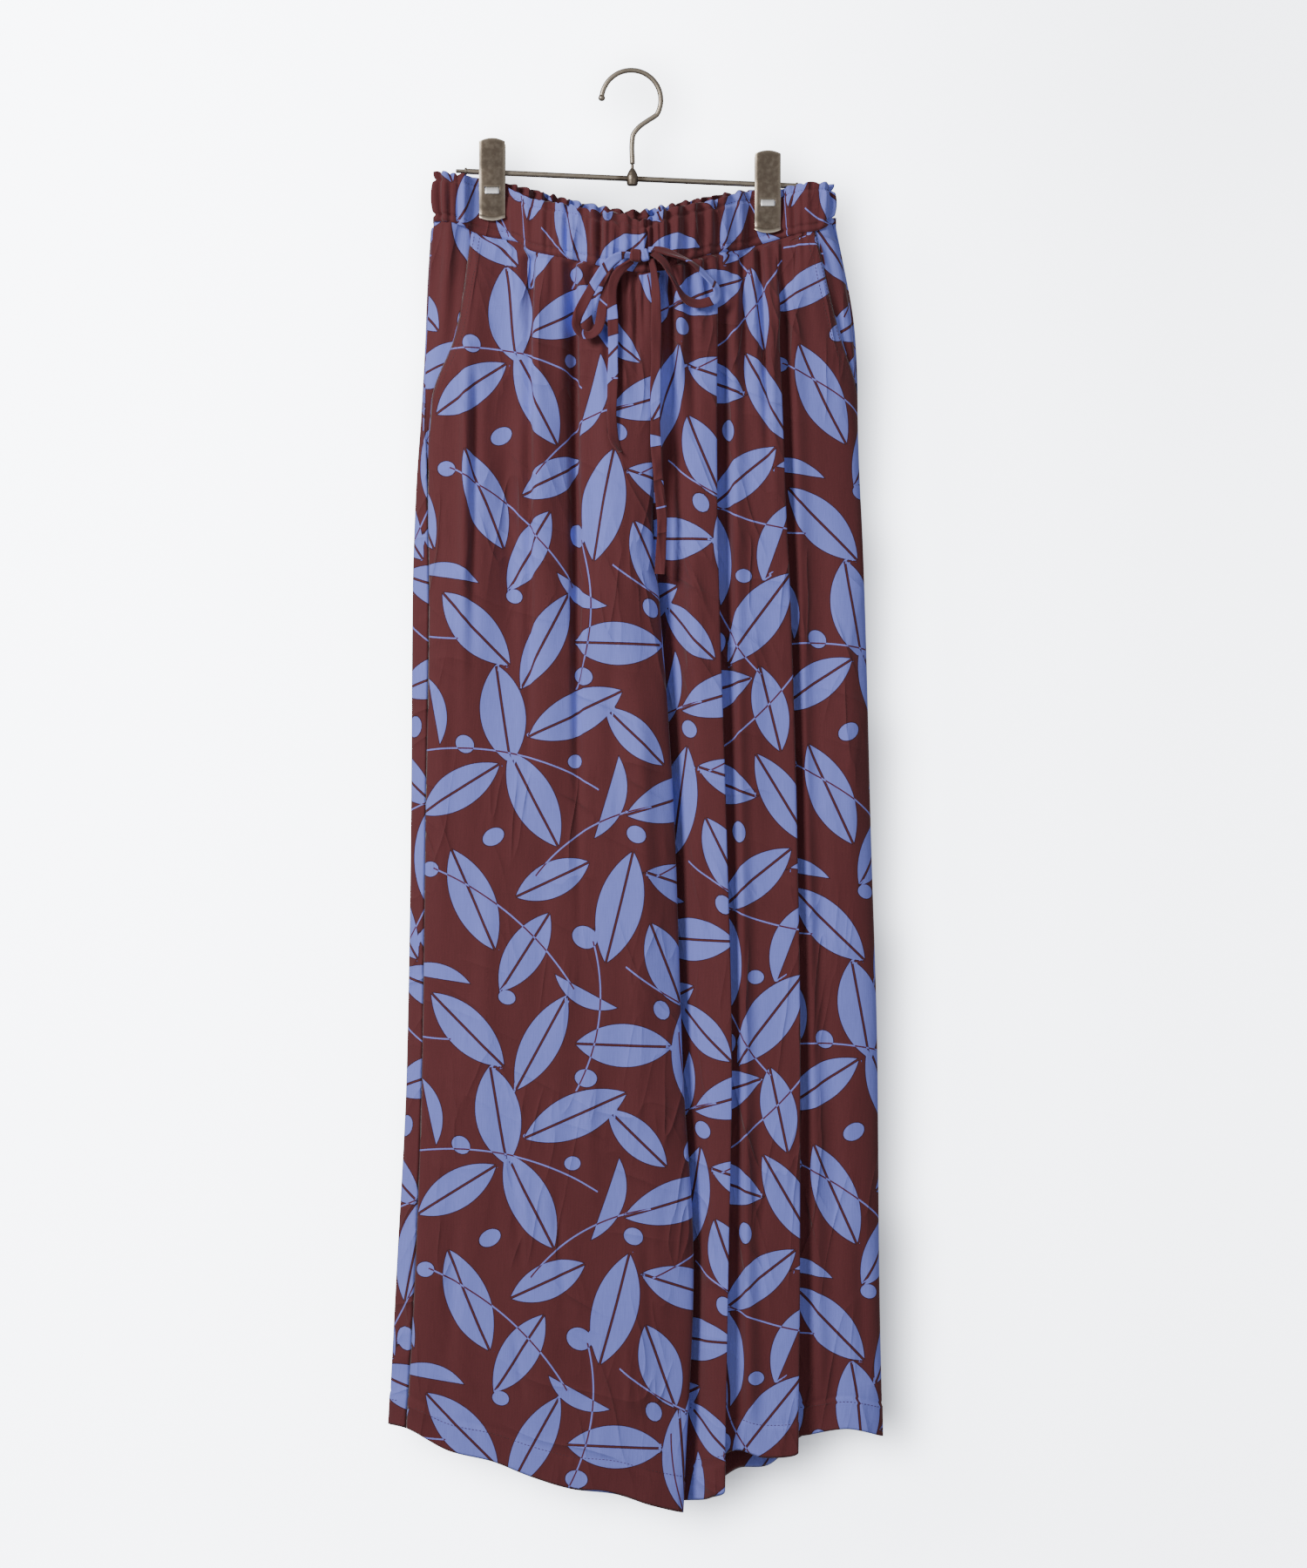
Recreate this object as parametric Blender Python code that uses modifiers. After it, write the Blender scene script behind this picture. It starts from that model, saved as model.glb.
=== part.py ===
"""Pull-on trousers hanging from a metal clip hanger.

The frame is in metres with +Z up. +X is to the right of someone who looks at the front, the front
faces -Y, and the origin is the inside top of the hanger's hook. Tables are in millimetres.
"""

import math

import bmesh
import bpy
import numpy as np
from mathutils import Matrix

MM = 0.001
OBJECT_NAME = "pull_on_trousers"

# Cloth thicknesses and the space between sewn pieces
LEG_CLOTH = 1.2
BAND_CLOTH = 1.6
TAPE_CLOTH = 1.5
SEAM_GAP = 0.4

# Heights of the sections down a leg. The waist seam and the hem differ from fold to fold.
LEVEL_Z = (-210, -265, -340, -422, -600, -800, -960)
LEVEL_DEPTH = np.array([0, 80, 135, 210, 292, 470, 670, 830, 980], float)
CROTCH = 4
ROWS_BETWEEN = (2, 2, 1, 2, 2, 2, 1, 2)

# The waist seam and the top edge of the band, seen from above and from the front.
# Columns: x, y, height of the seam, height of the top edge
WAIST_FRONT = np.array([
    (-158.2, 0.0, -120.4, -80.5),
    (-157.9, -2.2, -120.4, -80.5),
    (-154.0, -6.5, -120.5, -80.8),
    (-145.0, -9.5, -121.5, -82.0),
    (-135.0, -8.0, -125.0, -83.3),
    (-123.5, -1.6, -130.0, -85.2),
    (-112.0, -1.5, -133.0, -88.5),
    (-100.0, -1.6, -134.7, -92.5),
    (-92.0, -6.0, -137.0, -97.0),
    (-80.0, -12.0, -145.0, -103.0),
    (-52.5, -22.0, -152.0, -109.0),
    (-28.0, -29.5, -158.5, -115.5),
    (-8.0, -33.5, -163.0, -118.0),
    (7.0, -35.0, -164.8, -124.0),
    (22.0, -33.5, -162.5, -116.5),
    (41.3, -28.0, -155.4, -111.0),
    (68.6, -18.0, -147.0, -104.3),
    (87.0, -8.0, -143.8, -97.5),
    (97.5, -1.6, -140.0, -95.5),
    (109.2, -1.5, -136.8, -94.5),
    (121.0, -1.6, -133.3, -94.0),
    (131.0, -8.0, -130.9, -91.5),
    (146.3, -10.0, -129.0, -89.6),
    (157.0, -7.0, -124.5, -90.2),
    (160.7, -2.2, -121.2, -91.0),
    (161.0, 0.0, -121.0, -91.0),
])
WAIST_BACK = np.array([
    (-158.2, 0.0, -120.4, -80.5),
    (-157.9, 2.2, -120.5, -80.6),
    (-154.0, 6.5, -121.0, -81.0),
    (-145.0, 9.5, -122.0, -82.0),
    (-132.0, 7.0, -123.5, -83.2),
    (-123.5, 1.6, -125.3, -84.6),
    (-112.0, 1.5, -127.0, -86.5),
    (-100.0, 1.6, -128.9, -88.9),
    (-79.0, 9.5, -133.0, -92.6),
    (-52.5, 14.5, -140.0, -99.2),
    (-28.0, 17.5, -145.0, -104.0),
    (1.4, 18.5, -149.0, -108.3),
    (30.8, 16.8, -144.0, -103.3),
    (49.7, 14.2, -140.0, -99.6),
    (68.6, 10.5, -137.0, -96.8),
    (87.0, 5.0, -135.0, -94.4),
    (97.5, 1.6, -134.4, -94.0),
    (109.2, 1.5, -133.4, -93.9),
    (121.0, 1.6, -132.0, -93.9),
    (131.0, 7.0, -130.4, -92.0),
    (146.3, 9.5, -128.5, -90.0),
    (157.0, 6.5, -124.5, -90.5),
    (160.7, 2.2, -121.2, -91.0),
    (161.0, 0.0, -121.0, -91.0),
])

# Lines down the cloth of each leg piece, in order across it. Columns: name, height of the hem,
# x at the waist, the seven levels and the hem, y at the seven levels and the hem.
FRONT_LEFT = (
    ("pocket_edge_then_side", -1087.8, (-128.1, -140.8, -160.5, -163.4, -162.6, -165.2, -168.1, -173.5, -180.6),
     (-14, -11.5, -12.3, -13, -13, -13, -13, -12)),
    ("outer_fold", -1104, (-118, -127, -130, -131, -133.5, -135, -138, -142, -148),
     (-20, -22, -23.5, -24, -22, -22, -21, -19)),
    ("outer_groove", -1113.5, (-97, -97, -96, -96, -95, -97, -100, -104, -109),
     (-17.5, -19, -19, -20, -24, -26, -25, -22)),
    ("hip_ridge", -1124, (-72, -72, -71, -71, -70, -72, -74, -77, -82),
     (-27, -29, -30, -29, -28, -29, -28, -24)),
    ("long_groove", -1134, (-47.6, -46.9, -45.8, -44, -42.5, -41, -42, -43, -48),
     (-21, -21.5, -22, -24, -28, -30, -29, -26)),
    ("gather_ridge", -1138, (-22, -22, -21, -20, -18, -14, -12, -10, -12),
     (-35, -36, -35.5, -34, -32, -32, -31, -28)),
    ("middle_ridge", -1147, (0, 0, 0, 1, 4, 10, 16, 22, 16),
     (-37, -37.5, -37, -34, -32, -32, -30, -28)),
    ("inner_edge", -1153.5, (12, 12, 12.5, 14, 22, 34, 41, 49.5, 41),
     (-37, -37, -34, -22, -22, -22, -22, -20)),
)
FRONT_RIGHT = (
    ("inner_edge", -1146, (22, 22, 22, 22, 21, 24, 30, 37, 36),
     (-36, -34.5, -29, -8, -1, -1, -1, -1)),
    ("inner_recess", -1145, (29, 29, 30, 31, 33, 39, 46, 54, 52),
     (-32, -27, -23, -17, -14, -15, -15, -14)),
    ("inner_panel", -1141, (48, 50, 50, 50, 52, 58, 64, 68, 64),
     (-33, -33.5, -33, -31, -29, -28, -27, -25)),
    ("inner_fold_edge", -1135, (67, 68.6, 68, 68.3, 70, 75.5, 79.8, 77, 74.2),
     (-31, -32, -32, -31, -30, -30, -29, -27)),
    ("inner_fold_under", -1120, (70, 62.5, 61, 61, 61.5, 65, 68, 65, 63),
     (-25, -25.5, -25, -24, -23.5, -23.5, -22.5, -20.5)),
    ("middle_panel_start", -1105, (73, 73, 73, 74, 77, 83, 87, 84, 81),
     (-20, -20.5, -20.5, -20, -19.5, -19.5, -19, -17)),
    ("middle_panel", -1110, (92, 92, 93, 94, 97, 103, 107, 107, 105),
     (-22, -24, -24.5, -24, -23, -23, -23, -20.5)),
    ("outer_fold_edge", -1105, (113, 117.5, 120, 122.5, 126, 131, 134, 134, 132.5),
     (-21, -23, -24, -24, -23.5, -23.5, -23.5, -21)),
    ("outer_fold_under", -1098, (117, 112.5, 113, 114.5, 117, 121, 123, 123, 121.5),
     (-15.5, -17, -17.5, -17.5, -17, -17, -17, -14.5)),
    ("outer_panel_start", -1093, (121, 123, 126, 129, 134, 141, 145, 145, 144),
     (-10.5, -12.5, -13, -13, -12.5, -12.5, -12.5, -10.5)),
    ("outer_panel", -1088, (134, 142, 148, 152, 156, 163, 168, 170, 171),
     (-14, -15.5, -16.5, -17, -17, -17, -17, -15)),
    ("pocket_edge_then_turn", -1095, (141.5, 160, 178, 183.6, 187, 191.7, 197.3, 198.6, 201.4),
     (-12, -8, -5, -5, -5, -5, -5, -4)),
    ("pocket_edge_then_side", -1094, (147, 166.5, 182, 182.5, 185.5, 190.5, 195.7, 197, 199.6),
     (-9.5, -1.5, 2, 2, 2, 2, 2, 2)),
)
BACK_LEFT = (
    ("side_seam", -1087.8, (-158, -163.5, -165.9, -163.9, -162.6, -165.2, -168.1, -173.5, -180.6),
     (-3, -7.5, -12.3, -13, -13, -13, -13, -12)),
    ("side_turn", -1085.7, (-157, -164.4, -168, -173.5, -176, -177.3, -180.7, -188.7, -195.3),
     (4, 2, -2, -3, -3, -3, -3, -2)),
    ("side_back", -1087, (-150, -156, -158, -161, -163, -164, -168, -175, -182),
     (11, 10.5, 8.5, 7, 7, 7, 7, 7)),
    ("outer_ridge", -1098, (-129, -131, -132, -134, -136, -139, -142, -147, -153),
     (16, 18, 18, 16, 14, 14, 14, 12)),
    ("outer_groove", -1108, (-100, -104, -105, -107, -109, -111, -113, -116, -121),
     (11, 12, 11, 10, 9, 9, 9, 9)),
    ("seat_ridge", -1118, (-72, -74, -75, -76, -78, -78, -80, -82, -86),
     (21, 23, 22, 18, 15, 15, 15, 14)),
    ("seat_groove", -1127, (-42, -43, -44, -44, -44, -44, -44, -46, -50),
     (18.5, 20, 18, 14, 11, 11, 11, 11)),
    ("middle_ridge", -1135, (-12, -12, -12, -12, -12, -10, -8, -6, -12),
     (27, 29, 25, 14, 10, 9, 9, 9)),
    ("inner_back", -1145, (6, 6, 6, 6, 5, 14, 20, 27, 18),
     (27.5, 29, 21, 1, -2, -2, -2, -2)),
)
BACK_RIGHT = (
    ("inner_back", -1140, (29, 29, 29, 29, 31, 42, 48, 55, 55),
     (26.5, 28, 22, 9, 12, 12, 12, 12)),
    ("inner_ridge", -1135, (46, 47, 48, 49, 51, 59, 65, 70, 69),
     (28, 30, 27, 20, 18, 17, 17, 16)),
    ("seat_groove", -1124, (72, 73, 74, 75, 78, 84, 88, 89, 86),
     (18, 19, 18, 15, 13, 12, 12, 12)),
    ("seat_ridge", -1122, (96, 99, 101, 103, 106, 111, 114, 114, 111),
     (21, 23, 22, 20, 19, 19, 19, 17)),
    ("outer_groove", -1098, (122, 126, 128, 130, 133, 138, 141, 141, 137),
     (13, 13, 13, 13, 12, 12, 12, 11)),
    ("outer_ridge", -1089, (146, 155, 158, 159, 162, 167, 171, 172, 172),
     (14, 16, 17, 17, 16, 16, 16, 14)),
    ("side_back", -1094, (156, 169, 172, 172.5, 175, 180, 185, 186, 188),
     (10.5, 10.5, 11.5, 12, 12, 12, 12, 11)),
    ("side_seam", -1094, (161, 178, 182, 182.5, 185.5, 190.5, 195.7, 197, 199.6),
     (2.5, -1.5, 2, 2, 2, 2, 2, 2)),
)

# The rise seams run from the waist to the crotch, and the inseams from there to the hem.
# Columns: x and y at the waist and the levels down to the crotch, then from the crotch to the hem.
RISE_FRONT = ((17.5, 17.5, 17.5, 17.5, 17.5), (-36.8, -36, -31, -6))
RISE_BACK = ((17.5, 17.5, 17.5, 17.5, 17.5), (27.5, 29, 22, -3))
INSEAM_LEFT = ((16.5, 24, 31, 39, 30), (-5, -12, -11, -11, -10), -1150)
INSEAM_RIGHT = ((18.8, 33, 39, 46, 45), (-4.6, 6, 6, 6, 6), -1143)

# The pocket facings, which show between the slanted opening and the side seam.
# Columns: name, x at the waist and four heights, y at the four heights
FACING_LEFT_Z = (-170, -205, -240, -275, -335)
FACING_LEFT = (
    ("hidden_edge", (-122.5, -126, -131, -142, -151, -157), (-7.6, -15, -14.6, -13.2, -11.4)),
    ("opening", (-128, -134, -140.5, -150.5, -158.5, -161.3), (-7.6, -11.5, -11, -9.9, -10.2)),
    ("middle", (-146, -149.5, -153, -158, -162, -162.5), (-9.5, -10, -9.2, -8.9, -10.0)),
    ("side_seam", (-158, -161.2, -163.3, -165.0, -165.2, -163.6), (-1.4, -2.8, -5.6, -8.6, -10.2)),
)
FACING_RIGHT_Z = (-165, -190, -215, -238, -250)
FACING_RIGHT = (
    ("hidden_edge", (140, 145.5, 151, 158, 164, 168), (-8.8, -9.8, -10.3, -9.3, -8.0)),
    ("opening", (147, 153.5, 160, 167, 173, 176), (-7.8, -7.2, -7.0, -4.8, -3.2)),
    ("side_turn", (158, 166, 171.5, 176, 178.8, 180), (-4.2, -3.5, -3.0, -2.4, -1.8)),
    ("side_seam", (161, 170, 174.5, 177.6, 179.8, 180.8), (1.0, 2.0, 2.2, 0.8, -0.4)),
)
FACING_BEHIND = 1.9

# Gathers of the waistband
BAND_ROWS = (0.0, 0.12, 0.5, 0.86, 1.0)
WAVE_DEPTH = (0.7, 1.3, 2.0, 1.5, 2.9)
FRONT_WAVES = 25
BACK_WAVES = 36
COLUMNS_PER_WAVE = 4

# Clip hanger
HOOK_RADIUS = 23.8
HOOK_WIRE = 3.6
HOOK_TIP_BALL = 5.0
HOOK_CENTRE = (-0.4, -22.0)
HOOK_TIP_ANGLE = 175
HOOK_LEAVE_ANGLE = -30
HOOK_STEM = ((2.8, -47.4), (1.1, -50.2), (0.5, -54.0), (0.5, -73.6))
HUB_X = 0.5
HUB_PROFILE = (
    (0.0, -73.9), (1.2, -73.9), (1.3, -77.0), (2.4, -78.4), (3.6, -80.6), (4.6, -83.4),
    (4.9, -86.0), (4.6, -88.6), (4.3, -90.4), (3.6, -91.0), (0.0, -91.0),
)
BAR_LEFT = (-141.4, -79.1)
BAR_RIGHT = (140.7, -91.7)
BAR_DIAMETER = 4.0
BAR_END_DIAMETER = 2.6
BAR_STOP_DIAMETER = 5.4
BAR_SHOULDER = 9.0
BAR_STOP_WIDTH = 2.0
CLIP_X = (-112.0, 109.2)
CLIP_WIDTH = 19.6
CLIP_SHEET = 1.0
CLIP_ABOVE_BAR = 26.5
CLIP_BELOW_BAR = 39.4
CLIP_END_ARC = 2.6
# Columns: height over the bar, distance of the leaf's middle from the hanger's plane
CLIP_PROFILE = (
    (26.5, 8.2), (20.0, 7.9), (10.0, 6.9), (2.0, 6.0), (-8.0, 5.7), (-18.0, 5.2),
    (-27.0, 4.2), (-33.0, 3.3), (-36.5, 3.2), (-39.4, 4.2),
)
CLIP_WINDOW = (12.4, 5.4)
CLIP_WINDOW_HEIGHT = -14.2
SPRING_WIDTH = 11.4
SPRING_SHEET = 0.8
# Columns: distance from the hanger's plane, height over the bar
SPRING_PATH = (
    (6.95, -18.0), (6.7, -16.2), (5.9, -14.2), (4.8, -12.4), (4.3, -9.5), (4.2, -3.0),
    (3.6, 0.7), (2.2, 2.45), (0.0, 3.0),
)

# The drawstring of the trousers' own cloth: routes of its free ends and loops from the knot.
# Columns: x, y, z
TAPE_WIDTH = 8.0
KNOT_PLACE = (6.0, -41.3, -152.5)
KNOT_SIZE = (14.0, 7.0, 10.0)
TAIL_LEFT = (
    (1.0, -40.4, -156.8), (-3.0, -40.9, -159.6), (-7.4, -41.7, -163.0), (-12.0, -41.9, -168.5),
    (-14.9, -41.7, -176.5),
    (-15.5, -41.4, -187.5), (-14.9, -41.2, -200.0), (-14.5, -41.0, -222.0), (-15.0, -41.0, -255.0),
    (-15.4, -40.6, -284.0), (-13.5, -40.2, -299.0), (-9.0, -40.4, -308.5),
)
TAIL_RIGHT = (
    (15.4, -41.4, -155.3), (17.2, -41.0, -163.0), (18.5, -40.6, -172.0), (19.4, -40.2, -186.0),
    (19.6, -40.0, -205.0), (19.4, -40.2, -235.0), (18.9, -40.2, -265.0), (19.3, -39.6, -300.0),
    (21.5, -38.0, -332.0), (24.3, -36.5, -362.0), (23.5, -35.5, -385.0), (22.4, -34.5, -405.0),
)
LOOP_LEFT = (
    (-1.1, -42.3, -152.6), (-7.0, -44.3, -152.9), (-14.5, -45.0, -156.4), (-20.5, -44.8, -162.4),
    (-26.5, -44.2, -170.6), (-32.5, -43.2, -180.8), (-38.5, -42.0, -191.5), (-42.8, -41.0, -201.0),
    (-43.6, -40.4, -208.6), (-40.0, -40.0, -214.0), (-33.5, -39.8, -215.6), (-27.8, -39.6, -212.0),
    (-24.6, -39.4, -203.5), (-22.8, -39.2, -192.0), (-19.8, -39.1, -180.0), (-14.2, -39.1, -169.6),
    (-9.0, -39.2, -163.8), (-5.0, -39.2, -161.4),
)
LOOP_RIGHT = (
    (13.2, -42.3, -148.0), (20.0, -42.6, -147.8), (27.0, -42.4, -149.4), (35.0, -41.8, -152.2),
    (45.0, -40.2, -156.4), (54.6, -38.0, -163.8), (62.4, -36.4, -171.2), (67.6, -35.6, -178.0),
    (67.6, -35.6, -185.0), (60.0, -36.2, -189.0), (50.0, -37.8, -190.0), (42.4, -40.2, -186.4),
    (36.5, -42.2, -177.8), (31.4, -43.8, -167.4), (26.2, -44.8, -158.6), (16.6, -45.6, -150.2),
)

# Columns: base colour, metallic, roughness
MATERIALS = {
    "printed_cloth": ((0.13, 0.05, 0.06), 0.0, 0.85),
    "antique_brass": ((0.22, 0.18, 0.13), 1.0, 0.42),
    "bright_steel": ((0.62, 0.62, 0.62), 1.0, 0.3),
}


def material(name):
    """The named finish, made once."""
    found = bpy.data.materials.get(name)
    if found:
        return found
    color, metallic, roughness = MATERIALS[name]
    made = bpy.data.materials.new(name)
    made.use_nodes = True
    shader = made.node_tree.nodes["Principled BSDF"]
    shader.inputs["Base Color"].default_value = (*color, 1.0)
    shader.inputs["Metallic"].default_value = metallic
    shader.inputs["Roughness"].default_value = roughness
    return made


def finish(obj, collection, finish_name):
    """Puts the object in its collection with a material of its own, shaded smooth."""
    own = material(finish_name).copy()
    own.name = f"{obj.name}_{finish_name}"
    obj.data.materials.clear()
    obj.data.materials.append(own)
    for other in list(obj.users_collection):
        other.objects.unlink(obj)
    collection.objects.link(obj)
    if obj.type == "MESH":
        obj.data.shade_smooth()
        obj.data.set_sharp_from_angle(angle=math.radians(50))
    return obj


def span_of(places, at):
    """The span of places that each value of at falls in, and how far along it, from 0 to 1."""
    span = np.clip(np.searchsorted(places, at, side="right") - 1, 0, len(places) - 2)
    long = places[span + 1] - places[span]
    return span, long, (at - places[span]) / long


def cubic(places, values, slopes, at):
    """A cubic on each span, from the values and slopes at its two ends."""
    span, long, t = span_of(places, at)
    shape = (-1,) + (1,) * (values.ndim - 1)
    t, long = t.reshape(shape), long.reshape(shape)
    return (
        (2 * t**3 - 3 * t**2 + 1) * values[span]
        + (t**3 - 2 * t**2 + t) * long * slopes[span]
        + (3 * t**2 - 2 * t**3) * values[span + 1]
        + (t**3 - t**2) * long * slopes[span + 1]
    )


def rounded(places, values, at):
    """A smooth curve through the values, free to swing a little past them."""
    places, values = np.asarray(places, float), np.asarray(values, float)
    return cubic(places, values, np.gradient(values, places, axis=0), np.asarray(at, float))


def steady(places, values, at):
    """A smooth curve through the values that never swings past them."""
    places, values = np.asarray(places, float), np.asarray(values, float)
    shape = (-1,) + (1,) * (values.ndim - 1)
    rise = np.diff(values, axis=0) / np.diff(places).reshape(shape)
    before, after = rise[:-1], rise[1:]
    same_way = before * after > 0
    total = np.where(same_way, before + after, 1.0)
    inner = np.where(same_way, 2 * before * after / total, 0.0)
    slopes = np.concatenate([rise[:1], inner, rise[-1:]])
    return cubic(places, values, slopes, np.asarray(at, float))


def lengths_along(points):
    """Distance along a line of points, starting at 0."""
    steps = np.linalg.norm(np.diff(points, axis=0), axis=1)
    return np.concatenate([[0.0], np.cumsum(steps)])


def waist_curve(table, count=600):
    """The waist, as evenly parted rows of x, y, seam height and top height."""
    table = np.asarray(table, float)
    along = lengths_along(table[:, :2])
    return steady(along, table, np.linspace(0, along[-1], count))


def waist_at(table, x):
    """y and the seam's height at each x of the waist."""
    curve = waist_curve(table)
    return np.interp(x, curve[:, 0], curve[:, 1]), np.interp(x, curve[:, 0], curve[:, 2])


def line_levels(waist, xs, ys, heights):
    """The points of one line down the cloth at the waist and at each height."""
    top_y, seam_z = waist_at(waist, xs[0])
    return np.column_stack([xs, (top_y, *ys), (seam_z - SEAM_GAP, *heights)])


def leg_lines(waist, table, rows):
    """The table's lines at the rows, as an array of row, line and coordinate."""
    lines = []
    for _, hem, xs, ys in table:
        points = line_levels(waist, xs, ys, (*LEVEL_Z, hem))
        lines.append(steady(LEVEL_DEPTH, points, rows))
    return np.stack(lines, axis=1)


def inner_line(waist, rise, inseam, rows):
    """The line where a piece ends at the rise above the crotch and at the inseam below it."""
    inseam_x, inseam_y, hem = inseam
    upper = line_levels(waist, rise[0], rise[1], LEVEL_Z[:CROTCH])
    upper[-1, :2] = inseam_x[0], inseam_y[0]
    lower = np.column_stack([inseam_x, inseam_y, (*LEVEL_Z[CROTCH - 1:], hem)])
    above = steady(LEVEL_DEPTH[:CROTCH + 1], upper, rows)
    below = steady(LEVEL_DEPTH[CROTCH:], lower, rows)
    return np.where(rows[:, None] <= LEVEL_DEPTH[CROTCH], above, below)[:, None]


def hung(waist, grid):
    """The grid with its top row along the waist seam."""
    top_y, seam_z = waist_at(waist, grid[0, :, 0])
    grid[0, :, 1] = top_y
    grid[0, :, 2] = seam_z - 1.6 * SEAM_GAP
    return grid


def divided(places, parts):
    """The places again, with each span cut into its number of equal parts."""
    parts = np.broadcast_to(parts, len(places) - 1)
    cut = [np.linspace(a, b, n, endpoint=False) for a, b, n in zip(places, places[1:], parts)]
    return np.concatenate([*cut, [places[-1]]])


def across(lines, before, after, columns_between, trim=0.8 * SEAM_GAP):
    """The grid through the lines. The lines before and after them only steer its two edges."""
    everything = np.concatenate([before, lines, after], axis=1)
    below_waist = everything[2:]
    steps = np.linalg.norm(np.diff(below_waist, axis=1), axis=2).mean(axis=0)
    places = np.concatenate([[0.0], np.cumsum(steps)])
    columns = divided(places[1:-1], columns_between)
    columns[0] += trim
    columns[-1] -= trim
    return rounded(places, everything.transpose(1, 0, 2), columns).transpose(1, 0, 2)


def cloth(name, grid, thickness, collection, finish_name="printed_cloth"):
    """A wall of cloth with the grid's points in its middle."""
    rows, columns = grid.shape[:2]
    index = np.arange(rows * columns).reshape(rows, columns)
    quads = np.stack([index[:-1, :-1], index[:-1, 1:], index[1:, 1:], index[1:, :-1]], axis=-1)
    mesh = bpy.data.meshes.new(name)
    mesh.from_pydata((grid.reshape(-1, 3) * MM).tolist(), [], quads.reshape(-1, 4).tolist())
    obj = bpy.data.objects.new(name, mesh)
    bpy.context.scene.collection.objects.link(obj)
    wall = obj.modifiers.new("wall", "SOLIDIFY")
    wall.thickness = thickness * MM
    wall.offset = 0.0
    wall.use_even_offset = False
    return finish(obj, collection, finish_name)


def leg_pieces(collection):
    """The two front and two back pieces of the legs."""
    rows = divided(LEVEL_DEPTH, ROWS_BETWEEN)
    lines = {
        "front_left": leg_lines(WAIST_FRONT, FRONT_LEFT, rows),
        "front_right": leg_lines(WAIST_FRONT, FRONT_RIGHT, rows),
        "back_left": leg_lines(WAIST_BACK, BACK_LEFT, rows),
        "back_right": leg_lines(WAIST_BACK, BACK_RIGHT, rows),
    }
    inner = {
        "front_left": inner_line(WAIST_FRONT, RISE_FRONT, INSEAM_LEFT, rows),
        "front_right": inner_line(WAIST_FRONT, RISE_FRONT, INSEAM_RIGHT, rows),
        "back_left": inner_line(WAIST_BACK, RISE_BACK, INSEAM_LEFT, rows),
        "back_right": inner_line(WAIST_BACK, RISE_BACK, INSEAM_RIGHT, rows),
    }
    above = (rows < LEVEL_DEPTH[CROTCH])[:, None, None]

    def beyond(across_rise, across_inseam):
        return np.where(above, across_rise, across_inseam)

    front_left = np.concatenate([lines["front_left"], inner["front_left"]], axis=1)
    front_right = np.concatenate([inner["front_right"], lines["front_right"]], axis=1)
    back_left = np.concatenate([lines["back_left"], inner["back_left"]], axis=1)
    back_right = np.concatenate([inner["back_right"], lines["back_right"]], axis=1)
    cloth("front_leg_left", hung(WAIST_FRONT, across(
        front_left, lines["back_left"][:, 1:2],
        beyond(lines["front_right"][:, :1], lines["back_left"][:, -1:]), 3,
    )), LEG_CLOTH, collection)
    cloth("front_leg_right", hung(WAIST_FRONT, across(
        front_right, beyond(lines["front_left"][:, -1:], lines["back_right"][:, :1]),
        lines["back_right"][:, -2:-1], (2, 2, 2, 3, 2, 2, 2, 3, 2, 2, 2, 3, 2),
    )), LEG_CLOTH, collection)
    cloth("back_leg_left", hung(WAIST_BACK, across(
        back_left, lines["front_left"][:, 1:2],
        beyond(lines["back_right"][:, :1], lines["front_left"][:, -1:]), (2, 3, 3, 3, 3, 3, 3, 3, 2),
    )), LEG_CLOTH, collection)
    cloth("back_leg_right", hung(WAIST_BACK, across(
        back_right, beyond(lines["back_left"][:, -1:], lines["front_right"][:, :1]),
        lines["front_right"][:, -2:-1], (2, 3, 3, 3, 3, 3, 3, 2),
    )), LEG_CLOTH, collection)


def pocket_facings(collection):
    """The side pieces seen in the pocket openings, a little behind the front's edge."""
    for name, heights, table in (
        ("pocket_facing_left", FACING_LEFT_Z, FACING_LEFT),
        ("pocket_facing_right", FACING_RIGHT_Z, FACING_RIGHT),
    ):
        lines = []
        for line, xs, ys in table:
            points = line_levels(WAIST_FRONT, xs, ys, heights)
            if line in ("hidden_edge", "opening"):
                points[0, 1] += FACING_BEHIND
            lines.append(points)
        grid = np.stack(lines, axis=1)
        places = lengths_along(grid[2])
        columns = divided(places, 2)
        columns[-1] -= SEAM_GAP
        grid = rounded(places, grid.transpose(1, 0, 2), columns).transpose(1, 0, 2)
        cloth(name, grid, LEG_CLOTH, collection)


def near_clips(x):
    """1 where a clip pinches the band flat, falling to 0 beside it."""
    reach = CLIP_WIDTH / 2 + 4.5
    away = np.min([np.abs(x - centre) for centre in CLIP_X], axis=0)
    return 1 / (1 + np.exp((away - reach) / 1.6))


def band(name, table, waves, side, collection):
    """One half of the gathered waistband, between the side seams."""
    curve = waist_curve(table)
    along = lengths_along(curve[:, :2])
    trimmed = (0.75 * SEAM_GAP, along[-1] - 0.75 * SEAM_GAP)
    share = np.linspace(0, 1, waves * COLUMNS_PER_WAVE + 1)
    at = trimmed[0] + (trimmed[1] - trimmed[0]) * share
    x, y, seam_z, top_z = (np.interp(at, along, curve[:, k]) for k in range(4))
    phase = 2 * math.pi * waves * share
    uneven = 1 + 0.35 * np.sin(phase / 3.7) * np.cos(phase / 5.3 + 1)
    from_ends = np.minimum(share, 1 - share) * along[-1]
    free = (1 - near_clips(x)) * np.clip(from_ends / 10, 0, 1) * uneven
    rows = []
    for height, depth in zip(BAND_ROWS, WAVE_DEPTH):
        wave = side * depth * free * np.sin(phase + 0.5 * math.pi)
        rows.append(np.column_stack([x, y + wave, seam_z + (top_z - seam_z) * height]))
    cloth(name, np.stack(rows), BAND_CLOTH, collection)


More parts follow.
